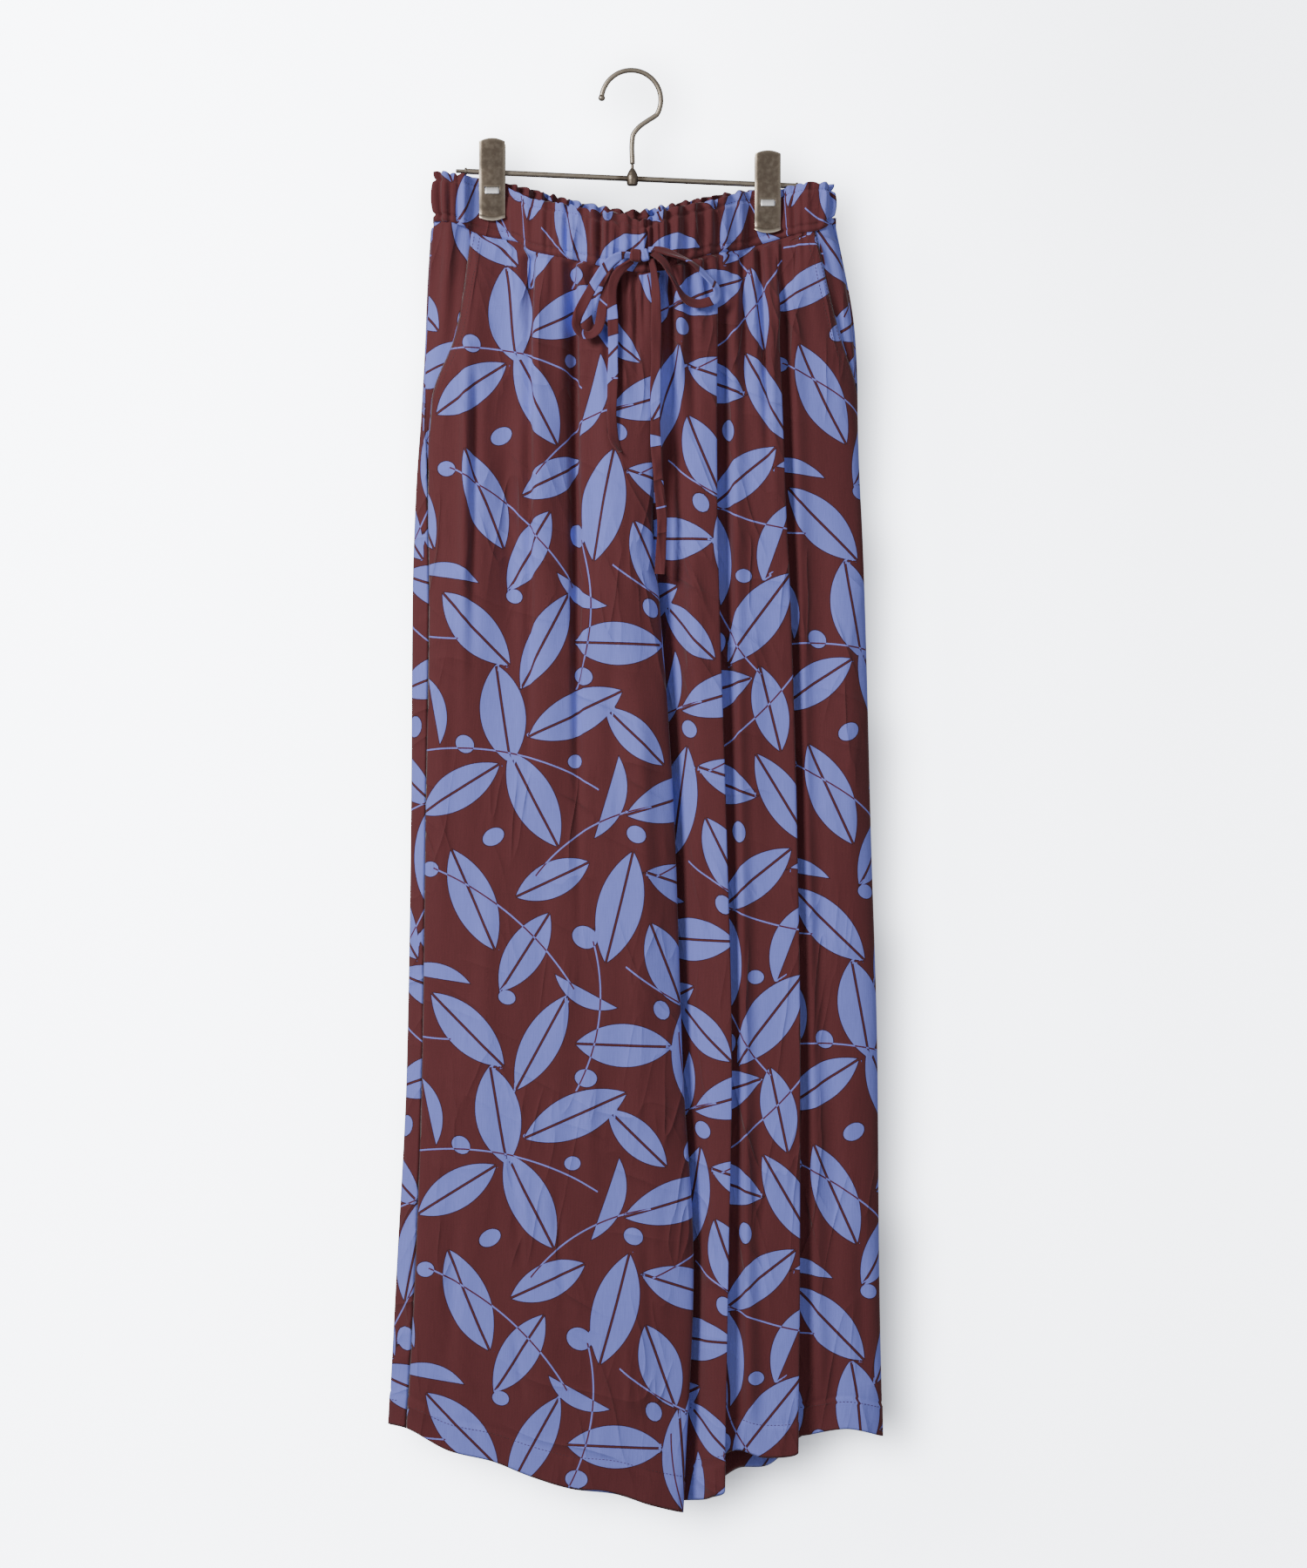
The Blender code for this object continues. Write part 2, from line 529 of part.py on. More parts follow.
def tape(name, route, collection, flat_on=(0.0, -1.0, 0.0)):
    """A flat tape along the route, its face turned to the viewer as far as the route lets it."""
    route = np.asarray(route, float)
    along = lengths_along(route)
    at = np.linspace(0, along[-1], max(4, round(along[-1] / (TAPE_WIDTH * 0.9))))
    middle = rounded(along, route, at)
    ahead = np.gradient(middle, at, axis=0)
    ahead /= np.linalg.norm(ahead, axis=1, keepdims=True)
    sideways = np.cross(ahead, np.asarray(flat_on))
    sideways /= np.linalg.norm(sideways, axis=1, keepdims=True)
    half = TAPE_WIDTH / 2 * sideways
    cloth(name, np.stack([middle - half, middle, middle + half], axis=1), TAPE_CLOTH, collection)


def drawstring(collection):
    """The knot, its two loops and its two free ends."""
    tape("drawstring_tail_left", TAIL_LEFT, collection)
    tape("drawstring_tail_right", TAIL_RIGHT, collection)
    tape("drawstring_loop_left", LOOP_LEFT, collection)
    tape("drawstring_loop_right", LOOP_RIGHT, collection)
    bpy.ops.mesh.primitive_uv_sphere_add(segments=14, ring_count=9, radius=0.5)
    knot = bpy.context.object
    knot.name = "drawstring_knot"
    knot.data.transform(Matrix.Diagonal((*(np.array(KNOT_SIZE) * MM), 1.0)))
    knot.location = np.array(KNOT_PLACE) * MM
    finish(knot, collection, "printed_cloth")


def turned(name, profile, steps, collection, finish_name):
    """A shape turned round Z from a profile of radius and height, listed top to bottom."""
    mesh = bpy.data.meshes.new(name)
    points = [(radius * MM, 0.0, height * MM) for radius, height in profile]
    mesh.from_pydata(points, [(i, i + 1) for i in range(len(points) - 1)], [])
    obj = bpy.data.objects.new(name, mesh)
    bpy.context.scene.collection.objects.link(obj)
    screw = obj.modifiers.new("turn", "SCREW")
    screw.steps = steps
    screw.render_steps = steps
    screw.use_merge_vertices = True
    screw.merge_threshold = 0.00005
    return finish(obj, collection, finish_name)


def bar_height(x):
    """Height of the bar's middle at x. The bar leans a little."""
    return BAR_LEFT[1] + (x - BAR_LEFT[0]) * (BAR_RIGHT[1] - BAR_LEFT[1]) / (BAR_RIGHT[0] - BAR_LEFT[0])


def hook(collection):
    """The wire hook with its ball tip, round over the rail and down to the hub."""
    angles = np.radians(np.linspace(HOOK_TIP_ANGLE, HOOK_LEAVE_ANGLE, 19))
    arc = [(HOOK_CENTRE[0] + HOOK_RADIUS * math.cos(a), HOOK_CENTRE[1] + HOOK_RADIUS * math.sin(a)) for a in angles]
    data = bpy.data.curves.new("hanger_hook_wire", "CURVE")
    data.dimensions = "3D"
    data.bevel_depth = HOOK_WIRE / 2 * MM
    data.bevel_resolution = 2
    data.use_fill_caps = True
    spline = data.splines.new("POLY")
    route = [*arc, *HOOK_STEM]
    spline.points.add(len(route) - 1)
    for point, (x, z) in zip(spline.points, route):
        point.co = (x * MM, 0.0, z * MM, 1.0)
    wire = bpy.data.objects.new("hanger_hook_wire", data)
    bpy.context.scene.collection.objects.link(wire)
    evaluated = wire.evaluated_get(bpy.context.evaluated_depsgraph_get())
    mesh = bpy.data.meshes.new_from_object(evaluated)
    bpy.data.objects.remove(wire)
    shape = bmesh.new()
    shape.from_mesh(mesh)
    bmesh.ops.remove_doubles(shape, verts=shape.verts, dist=1e-6)
    shape.to_mesh(mesh)
    shape.free()
    obj = bpy.data.objects.new("hanger_hook", mesh)
    finish(obj, collection, "antique_brass")
    bpy.ops.mesh.primitive_uv_sphere_add(segments=16, ring_count=10, radius=HOOK_TIP_BALL / 2 * MM)
    ball = bpy.context.object
    ball.name = "hook_ball"
    ball.location = (arc[0][0] * MM, 0.0, (arc[0][1] - 0.6) * MM)
    return obj, ball


def helper(obj, cutters):
    """Keeps a cutter or a joined shape out of the finished part."""
    for other in list(obj.users_collection):
        other.objects.unlink(obj)
    cutters.objects.link(obj)
    obj.hide_render = True
    obj.display_type = "WIRE"
    return obj


def boolean(obj, other, operation):
    """Joins the other shape to the object, or cuts it away."""
    change = obj.modifiers.new(other.name, "BOOLEAN")
    change.operation = operation
    change.object = other


def hanger(collection, cutters):
    """Hook, hub and bar."""
    wire, ball = hook(collection)
    boolean(wire, helper(ball, cutters), "UNION")
    hub = turned("hanger_hub", [(r, z) for r, z in HUB_PROFILE], 20, collection, "antique_brass")
    hub.location.x = HUB_X * MM
    lean = math.atan2(BAR_RIGHT[1] - BAR_LEFT[1], BAR_RIGHT[0] - BAR_LEFT[0])
    long = math.dist(BAR_LEFT, BAR_RIGHT)
    thick, thin, stop = BAR_DIAMETER / 2, BAR_END_DIAMETER / 2, BAR_STOP_DIAMETER / 2
    half, shoulder = long / 2, long / 2 - BAR_SHOULDER
    end = [(0, half), (thin - 0.5, half), (thin, half - 0.5), (thin, shoulder + BAR_STOP_WIDTH),
           (stop, shoulder + BAR_STOP_WIDTH), (stop, shoulder), (thick, shoulder)]
    profile = end + [(r, -z) for r, z in reversed(end)]
    bar = turned("hanger_bar", profile, 12, collection, "antique_brass")
    turn = Matrix.Rotation(math.radians(90) - lean, 4, "Y")
    middle = ((BAR_LEFT[0] + BAR_RIGHT[0]) / 2, 0.0, (BAR_LEFT[1] + BAR_RIGHT[1]) / 2)
    bar.matrix_world = Matrix.Translation(np.array(middle) * MM) @ turn
    bpy.ops.mesh.primitive_cylinder_add(vertices=20, radius=(thick + 0.3) * MM, depth=30 * MM)
    bore = bpy.context.object
    bore.name = "hub_bore"
    bore.matrix_world = Matrix.Translation((HUB_X * MM, 0.0, bar_height(HUB_X) * MM)) @ turn
    boolean(hub, helper(bore, cutters), "DIFFERENCE")


def clip(side_name, x, collection, cutters):
    """One clip: a front and a back leaf with a window each, and the spring that shuts them."""
    heights, outs = np.array(CLIP_PROFILE, float).T
    bar_z = bar_height(x)
    widths = np.linspace(-1, 1, 7)
    for leaf, side in (("front", -1), ("back", 1)):
        rows = []
        for height, out in zip(heights, outs):
            share = (height + CLIP_BELOW_BAR) / (CLIP_ABOVE_BAR + CLIP_BELOW_BAR)
            bend = CLIP_END_ARC * (2 * share - 1) * widths**2
            crown = 0.5 * (1 - widths**2)
            rows.append(np.column_stack([
                x + widths * CLIP_WIDTH / 2,
                side * (out + crown),
                bar_z + height - bend,
            ]))
        plate = cloth(f"clip_{side_name}_{leaf}", np.stack(rows), CLIP_SHEET, collection, "antique_brass")
        wide, tall = CLIP_WINDOW
        bpy.ops.mesh.primitive_cube_add(size=1.0)
        window = bpy.context.object
        window.name = f"clip_{side_name}_{leaf}_window"
        window.data.transform(Matrix.Diagonal((wide * MM, 12 * MM, tall * MM, 1.0)))
        window.location = (x * MM, side * 6.5 * MM, (bar_z + CLIP_WINDOW_HEIGHT) * MM)
        boolean(plate, helper(window, cutters), "DIFFERENCE")
    half = np.array(SPRING_PATH, float)
    path = np.concatenate([half * (-1, 1), half[-2::-1]])
    rows = [np.column_stack([np.full(3, x) + np.linspace(-0.5, 0.5, 3) * SPRING_WIDTH,
                             np.full(3, y), np.full(3, bar_z + height)]) for y, height in path]
    cloth(f"clip_{side_name}_spring", np.stack(rows), SPRING_SHEET, collection, "bright_steel")


def main():
    for obj in list(bpy.data.objects):
        bpy.data.objects.remove(obj)
    part = bpy.data.collections.new(OBJECT_NAME)
    cutters = bpy.data.collections.new("cutters")
    bpy.context.scene.collection.children.link(part)
    bpy.context.scene.collection.children.link(cutters)
    leg_pieces(part)
    pocket_facings(part)
    band("waistband_front", WAIST_FRONT, FRONT_WAVES, -1, part)
    band("waistband_back", WAIST_BACK, BACK_WAVES, 1, part)
    drawstring(part)
    hanger(part, cutters)
    clip("left", CLIP_X[0], part, cutters)
    clip("right", CLIP_X[1], part, cutters)


main()
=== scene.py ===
# %% [markdown]
# # Pull-on trousers on a clip hanger
# Wide trousers of printed viscose hang from two sheet-metal clips on a wire hanger. The frame is the
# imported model's: metres, +Z up, the front faces -Y, and the origin is the inside top of the hook.
# Tables are in millimetres. "Outward" is away from the wearer's body.

# %% frame
import math

import bpy
import numpy as np
from mathutils import Matrix, Vector


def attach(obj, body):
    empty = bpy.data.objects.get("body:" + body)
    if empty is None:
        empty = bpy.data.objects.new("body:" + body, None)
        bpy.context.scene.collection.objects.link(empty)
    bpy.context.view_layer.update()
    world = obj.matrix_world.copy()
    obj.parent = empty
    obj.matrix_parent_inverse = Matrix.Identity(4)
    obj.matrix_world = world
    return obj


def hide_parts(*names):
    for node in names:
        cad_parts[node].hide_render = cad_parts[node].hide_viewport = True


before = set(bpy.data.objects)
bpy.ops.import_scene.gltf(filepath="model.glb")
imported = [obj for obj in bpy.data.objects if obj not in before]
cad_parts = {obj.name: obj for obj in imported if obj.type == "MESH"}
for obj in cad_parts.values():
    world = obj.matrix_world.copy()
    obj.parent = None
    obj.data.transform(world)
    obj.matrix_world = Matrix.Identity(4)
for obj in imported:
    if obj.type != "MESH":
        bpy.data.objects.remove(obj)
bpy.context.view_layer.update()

MM = 0.001

# %% [markdown]
# ## Camera, wall and light
# The camera looks straight at the front from 3.2 m. A pale wall stands close behind, and its far
# side lets the view through, so that the back of the trousers can be seen too.

# %% camera and wall
CAMERA_AT = (17.5, -3200.0, -571.9)
CAMERA_LENS = 91.4
WALL_BEHIND = 95.0
WALL_HALF = 4500.0
WALL_CELL = 7.0
# The wall glows as a bright backdrop, darkened by a painted shadow of the trousers and a painted light
# falloff; the fine cells hold the painted shadow.
WALL_SHADED = ((-400, 450), (-1300, 120))   # the stretch of x and of z that has the fine cells
WALL_COLOR = (0.8, 0.805, 0.82)
WALL_GLOW = 7.3
WALL_GLOW_COLOR = (0.88, 0.915, 1.0)
FRAME_MIDDLE = (17.5, -572.0)


def tree_of(name):
    """A new material with its node tree, its shader and its output."""
    made = bpy.data.materials.new(name)
    made.use_nodes = True
    nodes = made.node_tree.nodes
    return made, made.node_tree, nodes["Principled BSDF"], nodes["Material Output"]


def feed(tree, node, inputs):
    """Gives each named or numbered input its value: a node's output, a number, a vector or a colour."""
    for name, value in inputs.items():
        socket = node.inputs[name]
        if isinstance(value, bpy.types.NodeSocket):
            tree.links.new(value, socket)
        else:
            socket.default_value = (*value, 1) if socket.type == "RGBA" else value


def add_node(tree, kind, inputs=None, **settings):
    """A node with the given settings and inputs."""
    node = tree.nodes.new(kind)
    for name, value in settings.items():
        setattr(node, name, value)
    feed(tree, node, inputs or {})
    return node


def build_camera():
    """The camera, straight in front of the middle of the photograph's frame."""
    camera = bpy.data.objects.new("camera", bpy.data.cameras.new("camera"))
    bpy.context.scene.collection.objects.link(camera)
    camera.location = Vector(CAMERA_AT) * MM
    camera.rotation_euler = (math.radians(90), 0, 0)
    camera.data.lens = CAMERA_LENS
    camera.data.clip_start = 0.1
    camera.data.clip_end = 30
    bpy.context.scene.camera = camera


def soft(values, reach):
    """The values blurred twice over the reach, in cells, both ways."""
    box = np.ones(reach) / reach
    for axis in (0, 1, 0, 1):
        values = np.apply_along_axis(np.convolve, axis, values, box, "same")
    return values


def wall_glow_with_painted_shade(x, z, outline):
    """How much the wall glows at each point, with painted light and shade: brighter at the left, darker in
    the corners, and darker in a painted shadow where the outline, moved right and down and blurred, shades
    it."""
    centres = np.meshgrid(x, z, indexing="ij")
    down = -outline[:, 1] / 1150
    grown = FRAME_MIDDLE + 1.03 * (outline - FRAME_MIDDLE)
    moved = (grown[:, 0] + 11 + 15 * down, grown[:, 1] - 8)
    half = WALL_CELL / 2
    bins = [np.append(line - half, line[-1] + half) for line in (x[1:-1], z[1:-1])]
    # Painted shadow: the outline, moved and blurred, darkens the wall beside and below the trousers.
    painted_shadow = np.pad(soft((np.histogram2d(*moved, bins=bins)[0] > 0).astype(float), 5), 1)
    across, below = np.clip(centres[0] / 500, -1, 1), np.clip(-centres[1] / 1150, 0, 1)
    # Painted light falloff: brighter at the left, darker towards the bottom and the upper right.
    painted_falloff = (1 - 0.2 * below**2) * (1 - 0.3 * np.clip(across, 0, 1) * (1 - below) ** 2)
    return WALL_GLOW * (1 - 0.2 * across) * painted_falloff * (1 - 0.95 * painted_shadow)


def wall_paint():
    """Matt paint that glows as its attribute says, with the painted shadow and painted falloff in it. It is
    clear from behind.
    """
    made, tree, shader, output = tree_of("wall_paint")
    glow_with_painted_shade = add_node(tree, "ShaderNodeAttribute", attribute_name="glow_with_painted_shade")
    feed(tree, shader, {"Base Color": WALL_COLOR, "Emission Color": WALL_GLOW_COLOR, "Roughness": 1.0,
                        "Emission Strength": glow_with_painted_shade.outputs["Fac"], "Specular IOR Level": 0.0})
    side = add_node(tree, "ShaderNodeNewGeometry").outputs["Backfacing"]
    clear = add_node(tree, "ShaderNodeBsdfTransparent").outputs[0]
    mix = add_node(tree, "ShaderNodeMixShader", {0: side, 1: shader.outputs[0], 2: clear})
    feed(tree, output, {"Surface": mix.outputs[0]})
    return made


def build_wall(outline):
    """A matt wall that faces the camera. It neither lights nor blocks the back."""
    x, z = (np.concatenate([[-WALL_HALF], np.arange(start, end, WALL_CELL), [WALL_HALF]])
            for start, end in WALL_SHADED)
    points = np.stack([*np.meshgrid(x, [WALL_BEHIND], z, indexing="ij")], -1)[:, 0]
    mesh = bpy.data.meshes.new("wall")
    mesh.from_pydata((points.reshape(-1, 3) * MM).tolist(), [], grid_faces(len(x), len(z), True).tolist())
    glow_with_painted_shade = mesh.attributes.new("glow_with_painted_shade", "FLOAT", "POINT")
    glow_with_painted_shade.data.foreach_set("value", wall_glow_with_painted_shade(x, z, outline).reshape(-1).astype(np.float32))
    mesh.materials.append(wall_paint())
    wall = bpy.data.objects.new("wall", mesh)
    wall.visible_diffuse = wall.visible_glossy = wall.visible_shadow = False
    bpy.context.scene.collection.objects.link(wall)


# Columns: name, place in metres, size in metres, power in watts, colour
LIGHTS = (
    ("key", (-2.0, -2.1, 0.75), 1.0, 96, (1.0, 0.985, 0.97)),
    ("fill", (1.6, -2.9, -0.4), 2.0, 12, (0.97, 0.98, 1.0)),
)


def build_lights():
    """Large soft lights from the upper left, and white air all round."""
    for name, place, size, power, color in LIGHTS:
        data = bpy.data.lights.new(name, "AREA")
        data.size = size
        data.energy = power
        data.color = color
        lamp = bpy.data.objects.new(name, data)
        lamp.location = place
        lamp.rotation_euler = (Vector((0, 0, -0.57)) - lamp.location).to_track_quat("-Z", "Y").to_euler()
        bpy.context.scene.collection.objects.link(lamp)
    world = bpy.data.worlds.new("air")
    world.use_nodes = True
    world.node_tree.nodes["Background"].inputs["Color"].default_value = (0.95, 0.965, 1.0, 1)
    world.node_tree.nodes["Background"].inputs["Strength"].default_value = 0.33
    bpy.context.scene.world = world


build_camera()
build_lights()
print("camera and", len(LIGHTS), "lights")

# %% [markdown]
# ## Sizes of the cut
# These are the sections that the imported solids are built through: the waist, the lines down each leg
# piece with their folds, the seams between pieces, the pocket facings, the hanger and the drawstring.

# %% sizes
# The tape's thickness and the space between sewn pieces
TAPE_CLOTH = 1.5
SEAM_GAP = 0.4

# Heights of the sections down a leg. The waist seam and the hem differ from fold to fold.
LEVEL_Z = (-210, -265, -340, -422, -600, -800, -960)
LEVEL_DEPTH = np.array([0, 80, 135, 210, 292, 470, 670, 830, 980], float)
CROTCH = 4

# The waist seam and the top edge of the band, seen from above and from the front.
# Columns: x, y, height of the seam, height of the top edge
WAIST_FRONT = np.array([
    (-158.2, 0.0, -120.4, -80.5),
    (-157.9, -2.2, -120.4, -80.5),
    (-154.0, -6.5, -120.5, -80.8),
    (-145.0, -9.5, -121.5, -82.0),
    (-135.0, -8.0, -125.0, -83.3),
    (-123.5, -1.6, -130.0, -85.2),
    (-112.0, -1.5, -133.0, -88.5),
    (-100.0, -1.6, -134.7, -92.5),
    (-92.0, -6.0, -137.0, -97.0),
    (-80.0, -12.0, -145.0, -103.0),
    (-52.5, -22.0, -152.0, -109.0),
    (-28.0, -29.5, -158.5, -115.5),
    (-8.0, -33.5, -163.0, -118.0),
    (7.0, -35.0, -164.8, -124.0),
    (22.0, -33.5, -162.5, -116.5),
    (41.3, -28.0, -155.4, -111.0),
    (68.6, -18.0, -147.0, -104.3),
    (87.0, -8.0, -143.8, -97.5),
    (97.5, -1.6, -140.0, -95.5),
    (109.2, -1.5, -136.8, -94.5),
    (121.0, -1.6, -133.3, -94.0),
    (131.0, -8.0, -130.9, -91.5),
    (146.3, -10.0, -129.0, -89.6),
    (157.0, -7.0, -124.5, -90.2),
    (160.7, -2.2, -121.2, -91.0),
    (161.0, 0.0, -121.0, -91.0),
])
WAIST_BACK = np.array([
    (-158.2, 0.0, -120.4, -80.5),
    (-157.9, 2.2, -120.5, -80.6),
    (-154.0, 6.5, -121.0, -81.0),
    (-145.0, 9.5, -122.0, -82.0),
    (-132.0, 7.0, -123.5, -83.2),
    (-123.5, 1.6, -125.3, -84.6),
    (-112.0, 1.5, -127.0, -86.5),
    (-100.0, 1.6, -128.9, -88.9),
    (-79.0, 9.5, -133.0, -92.6),
    (-52.5, 14.5, -140.0, -99.2),
    (-28.0, 17.5, -145.0, -104.0),
    (1.4, 18.5, -149.0, -108.3),
    (30.8, 16.8, -144.0, -103.3),
    (49.7, 14.2, -140.0, -99.6),
    (68.6, 10.5, -137.0, -96.8),
    (87.0, 5.0, -135.0, -94.4),
    (97.5, 1.6, -134.4, -94.0),
    (109.2, 1.5, -133.4, -93.9),
    (121.0, 1.6, -132.0, -93.9),
    (131.0, 7.0, -130.4, -92.0),
    (146.3, 9.5, -128.5, -90.0),
    (157.0, 6.5, -124.5, -90.5),
    (160.7, 2.2, -121.2, -91.0),
    (161.0, 0.0, -121.0, -91.0),
])

# Lines down the cloth of each leg piece, in order across it. Columns: name, height of the hem,
# x at the waist, the seven levels and the hem, y at the seven levels and the hem.
FRONT_LEFT = (
    ("pocket_edge_then_side", -1087.8,
     (-128.1, -140.8, -160.5, -163.4, -162.6, -165.2, -168.1, -173.5, -180.6),
     (-14, -11.5, -12.3, -13, -13, -13, -13, -12)),
    ("outer_fold", -1104, (-118, -127, -130, -131, -133.5, -135, -138, -142, -148),
     (-20, -22, -23.5, -24, -22, -22, -21, -19)),
    ("outer_groove", -1113.5, (-97, -97, -96, -96, -95, -97, -100, -104, -109),
     (-17.5, -19, -19, -20, -24, -26, -25, -22)),
    ("hip_ridge", -1124, (-72, -72, -71, -71, -70, -72, -74, -77, -82),
     (-27, -29, -30, -29, -28, -29, -28, -24)),
    ("long_groove", -1134, (-47.6, -46.9, -45.8, -44, -42.5, -41, -42, -43, -48),
     (-21, -21.5, -22, -24, -28, -30, -29, -26)),
    ("gather_ridge", -1138, (-22, -22, -21, -20, -18, -14, -12, -10, -12),
     (-35, -36, -35.5, -34, -32, -32, -31, -28)),
    ("middle_ridge", -1147, (0, 0, 0, 1, 4, 10, 16, 22, 16),
     (-37, -37.5, -37, -34, -32, -32, -30, -28)),
    ("inner_edge", -1153.5, (12, 12, 12.5, 14, 22, 34, 41, 49.5, 41),
     (-37, -37, -34, -22, -22, -22, -22, -20)),
)
FRONT_RIGHT = (
    ("inner_edge", -1146, (22, 22, 22, 22, 21, 24, 30, 37, 36),
     (-36, -34.5, -29, -8, -1, -1, -1, -1)),
    ("inner_recess", -1145, (29, 29, 30, 31, 33, 39, 46, 54, 52),
     (-32, -27, -23, -17, -14, -15, -15, -14)),
    ("inner_panel", -1141, (48, 50, 50, 50, 52, 58, 64, 68, 64),
     (-33, -33.5, -33, -31, -29, -28, -27, -25)),
    ("inner_fold_edge", -1135, (67, 68.6, 68, 68.3, 70, 75.5, 79.8, 77, 74.2),
     (-31, -32, -32, -31, -30, -30, -29, -27)),
    ("inner_fold_under", -1120, (70, 62.5, 61, 61, 61.5, 65, 68, 65, 63),
     (-25, -25.5, -25, -24, -23.5, -23.5, -22.5, -20.5)),
    ("middle_panel_start", -1105, (73, 73, 73, 74, 77, 83, 87, 84, 81),
     (-20, -20.5, -20.5, -20, -19.5, -19.5, -19, -17)),
    ("middle_panel", -1110, (92, 92, 93, 94, 97, 103, 107, 107, 105),
     (-22, -24, -24.5, -24, -23, -23, -23, -20.5)),
    ("outer_fold_edge", -1105, (113, 117.5, 120, 122.5, 126, 131, 134, 134, 132.5),
     (-21, -23, -24, -24, -23.5, -23.5, -23.5, -21)),
    ("outer_fold_under", -1098, (117, 112.5, 113, 114.5, 117, 121, 123, 123, 121.5),
     (-15.5, -17, -17.5, -17.5, -17, -17, -17, -14.5)),
    ("outer_panel_start", -1093, (121, 123, 126, 129, 134, 141, 145, 145, 144),
     (-10.5, -12.5, -13, -13, -12.5, -12.5, -12.5, -10.5)),
    ("outer_panel", -1088, (134, 142, 148, 152, 156, 163, 168, 170, 171),
     (-14, -15.5, -16.5, -17, -17, -17, -17, -15)),
    ("pocket_edge_then_turn", -1095, (141.5, 160, 178, 183.6, 187, 191.7, 197.3, 198.6, 201.4),
     (-12, -8, -5, -5, -5, -5, -5, -4)),
    ("pocket_edge_then_side", -1094, (147, 166.5, 182, 182.5, 185.5, 190.5, 195.7, 197, 199.6),
     (-9.5, -1.5, 2, 2, 2, 2, 2, 2)),
)
BACK_LEFT = (
    ("side_seam", -1087.8, (-158, -163.5, -165.9, -163.9, -162.6, -165.2, -168.1, -173.5, -180.6),
     (-3, -7.5, -12.3, -13, -13, -13, -13, -12)),
    ("side_turn", -1085.7, (-157, -164.4, -168, -173.5, -176, -177.3, -180.7, -188.7, -195.3),
     (4, 2, -2, -3, -3, -3, -3, -2)),
    ("side_back", -1087, (-150, -156, -158, -161, -163, -164, -168, -175, -182),
     (11, 10.5, 8.5, 7, 7, 7, 7, 7)),
    ("outer_ridge", -1098, (-129, -131, -132, -134, -136, -139, -142, -147, -153),
     (16, 18, 18, 16, 14, 14, 14, 12)),
    ("outer_groove", -1108, (-100, -104, -105, -107, -109, -111, -113, -116, -121),
     (11, 12, 11, 10, 9, 9, 9, 9)),
    ("seat_ridge", -1118, (-72, -74, -75, -76, -78, -78, -80, -82, -86),
     (21, 23, 22, 18, 15, 15, 15, 14)),
    ("seat_groove", -1127, (-42, -43, -44, -44, -44, -44, -44, -46, -50),
     (18.5, 20, 18, 14, 11, 11, 11, 11)),
    ("middle_ridge", -1135, (-12, -12, -12, -12, -12, -10, -8, -6, -12),
     (27, 29, 25, 14, 10, 9, 9, 9)),
    ("inner_back", -1145, (6, 6, 6, 6, 5, 14, 20, 27, 18),
     (27.5, 29, 21, 1, -2, -2, -2, -2)),
)
BACK_RIGHT = (
    ("inner_back", -1140, (29, 29, 29, 29, 31, 42, 48, 55, 55),
     (26.5, 28, 22, 9, 12, 12, 12, 12)),
    ("inner_ridge", -1135, (46, 47, 48, 49, 51, 59, 65, 70, 69),
     (28, 30, 27, 20, 18, 17, 17, 16)),
    ("seat_groove", -1124, (72, 73, 74, 75, 78, 84, 88, 89, 86),
     (18, 19, 18, 15, 13, 12, 12, 12)),
    ("seat_ridge", -1122, (96, 99, 101, 103, 106, 111, 114, 114, 111),
     (21, 23, 22, 20, 19, 19, 19, 17)),
    ("outer_groove", -1098, (122, 126, 128, 130, 133, 138, 141, 141, 137),
     (13, 13, 13, 13, 12, 12, 12, 11)),
    ("outer_ridge", -1089, (146, 155, 158, 159, 162, 167, 171, 172, 172),
     (14, 16, 17, 17, 16, 16, 16, 14)),
    ("side_back", -1094, (156, 169, 172, 172.5, 175, 180, 185, 186, 188),
     (10.5, 10.5, 11.5, 12, 12, 12, 12, 11)),
    ("side_seam", -1094, (161, 178, 182, 182.5, 185.5, 190.5, 195.7, 197, 199.6),
     (2.5, -1.5, 2, 2, 2, 2, 2, 2)),
)

# The rise seams run from the waist to the crotch, and the inseams from there to the hem.
# Columns: x and y at the waist and the levels down to the crotch, then from the crotch to the hem.
RISE_FRONT = ((17.5, 17.5, 17.5, 17.5, 17.5), (-36.8, -36, -31, -6))
RISE_BACK = ((17.5, 17.5, 17.5, 17.5, 17.5), (27.5, 29, 22, -3))
INSEAM_LEFT = ((16.5, 24, 31, 39, 30), (-5, -12, -11, -11, -10), -1150)
INSEAM_RIGHT = ((18.8, 33, 39, 46, 45), (-4.6, 6, 6, 6, 6), -1143)

# The pocket facings, which show between the slanted opening and the side seam.
# Columns: name, x at the waist and the five heights, y at the five heights
FACING_LEFT_Z = (-170, -205, -240, -275, -335)
FACING_LEFT = (
    ("hidden_edge", (-122.5, -126, -131, -142, -151, -157), (-7.6, -15, -14.6, -13.2, -11.4)),
    ("opening", (-128, -134, -140.5, -150.5, -158.5, -161.3), (-7.6, -11.5, -11, -9.9, -10.2)),
    ("middle", (-146, -149.5, -153, -158, -162, -162.5), (-9.5, -10, -9.2, -8.9, -10.0)),
    ("side_seam", (-158, -161.2, -163.3, -165.0, -165.2, -163.6), (-1.4, -2.8, -5.6, -8.6, -10.2)),
)
FACING_RIGHT_Z = (-165, -190, -215, -238, -250)
FACING_RIGHT = (
    ("hidden_edge", (140, 145.5, 151, 158, 164, 168), (-8.8, -9.8, -10.3, -9.3, -8.0)),
    ("opening", (147, 153.5, 160, 167, 173, 176), (-7.8, -7.2, -7.0, -4.8, -3.2)),
    ("side_turn", (158, 166, 171.5, 176, 178.8, 180), (-4.2, -3.5, -3.0, -2.4, -1.8)),
    ("side_seam", (161, 170, 174.5, 177.6, 179.8, 180.8), (1.0, 2.0, 2.2, 0.8, -0.4)),
)
FACING_BEHIND = 1.9

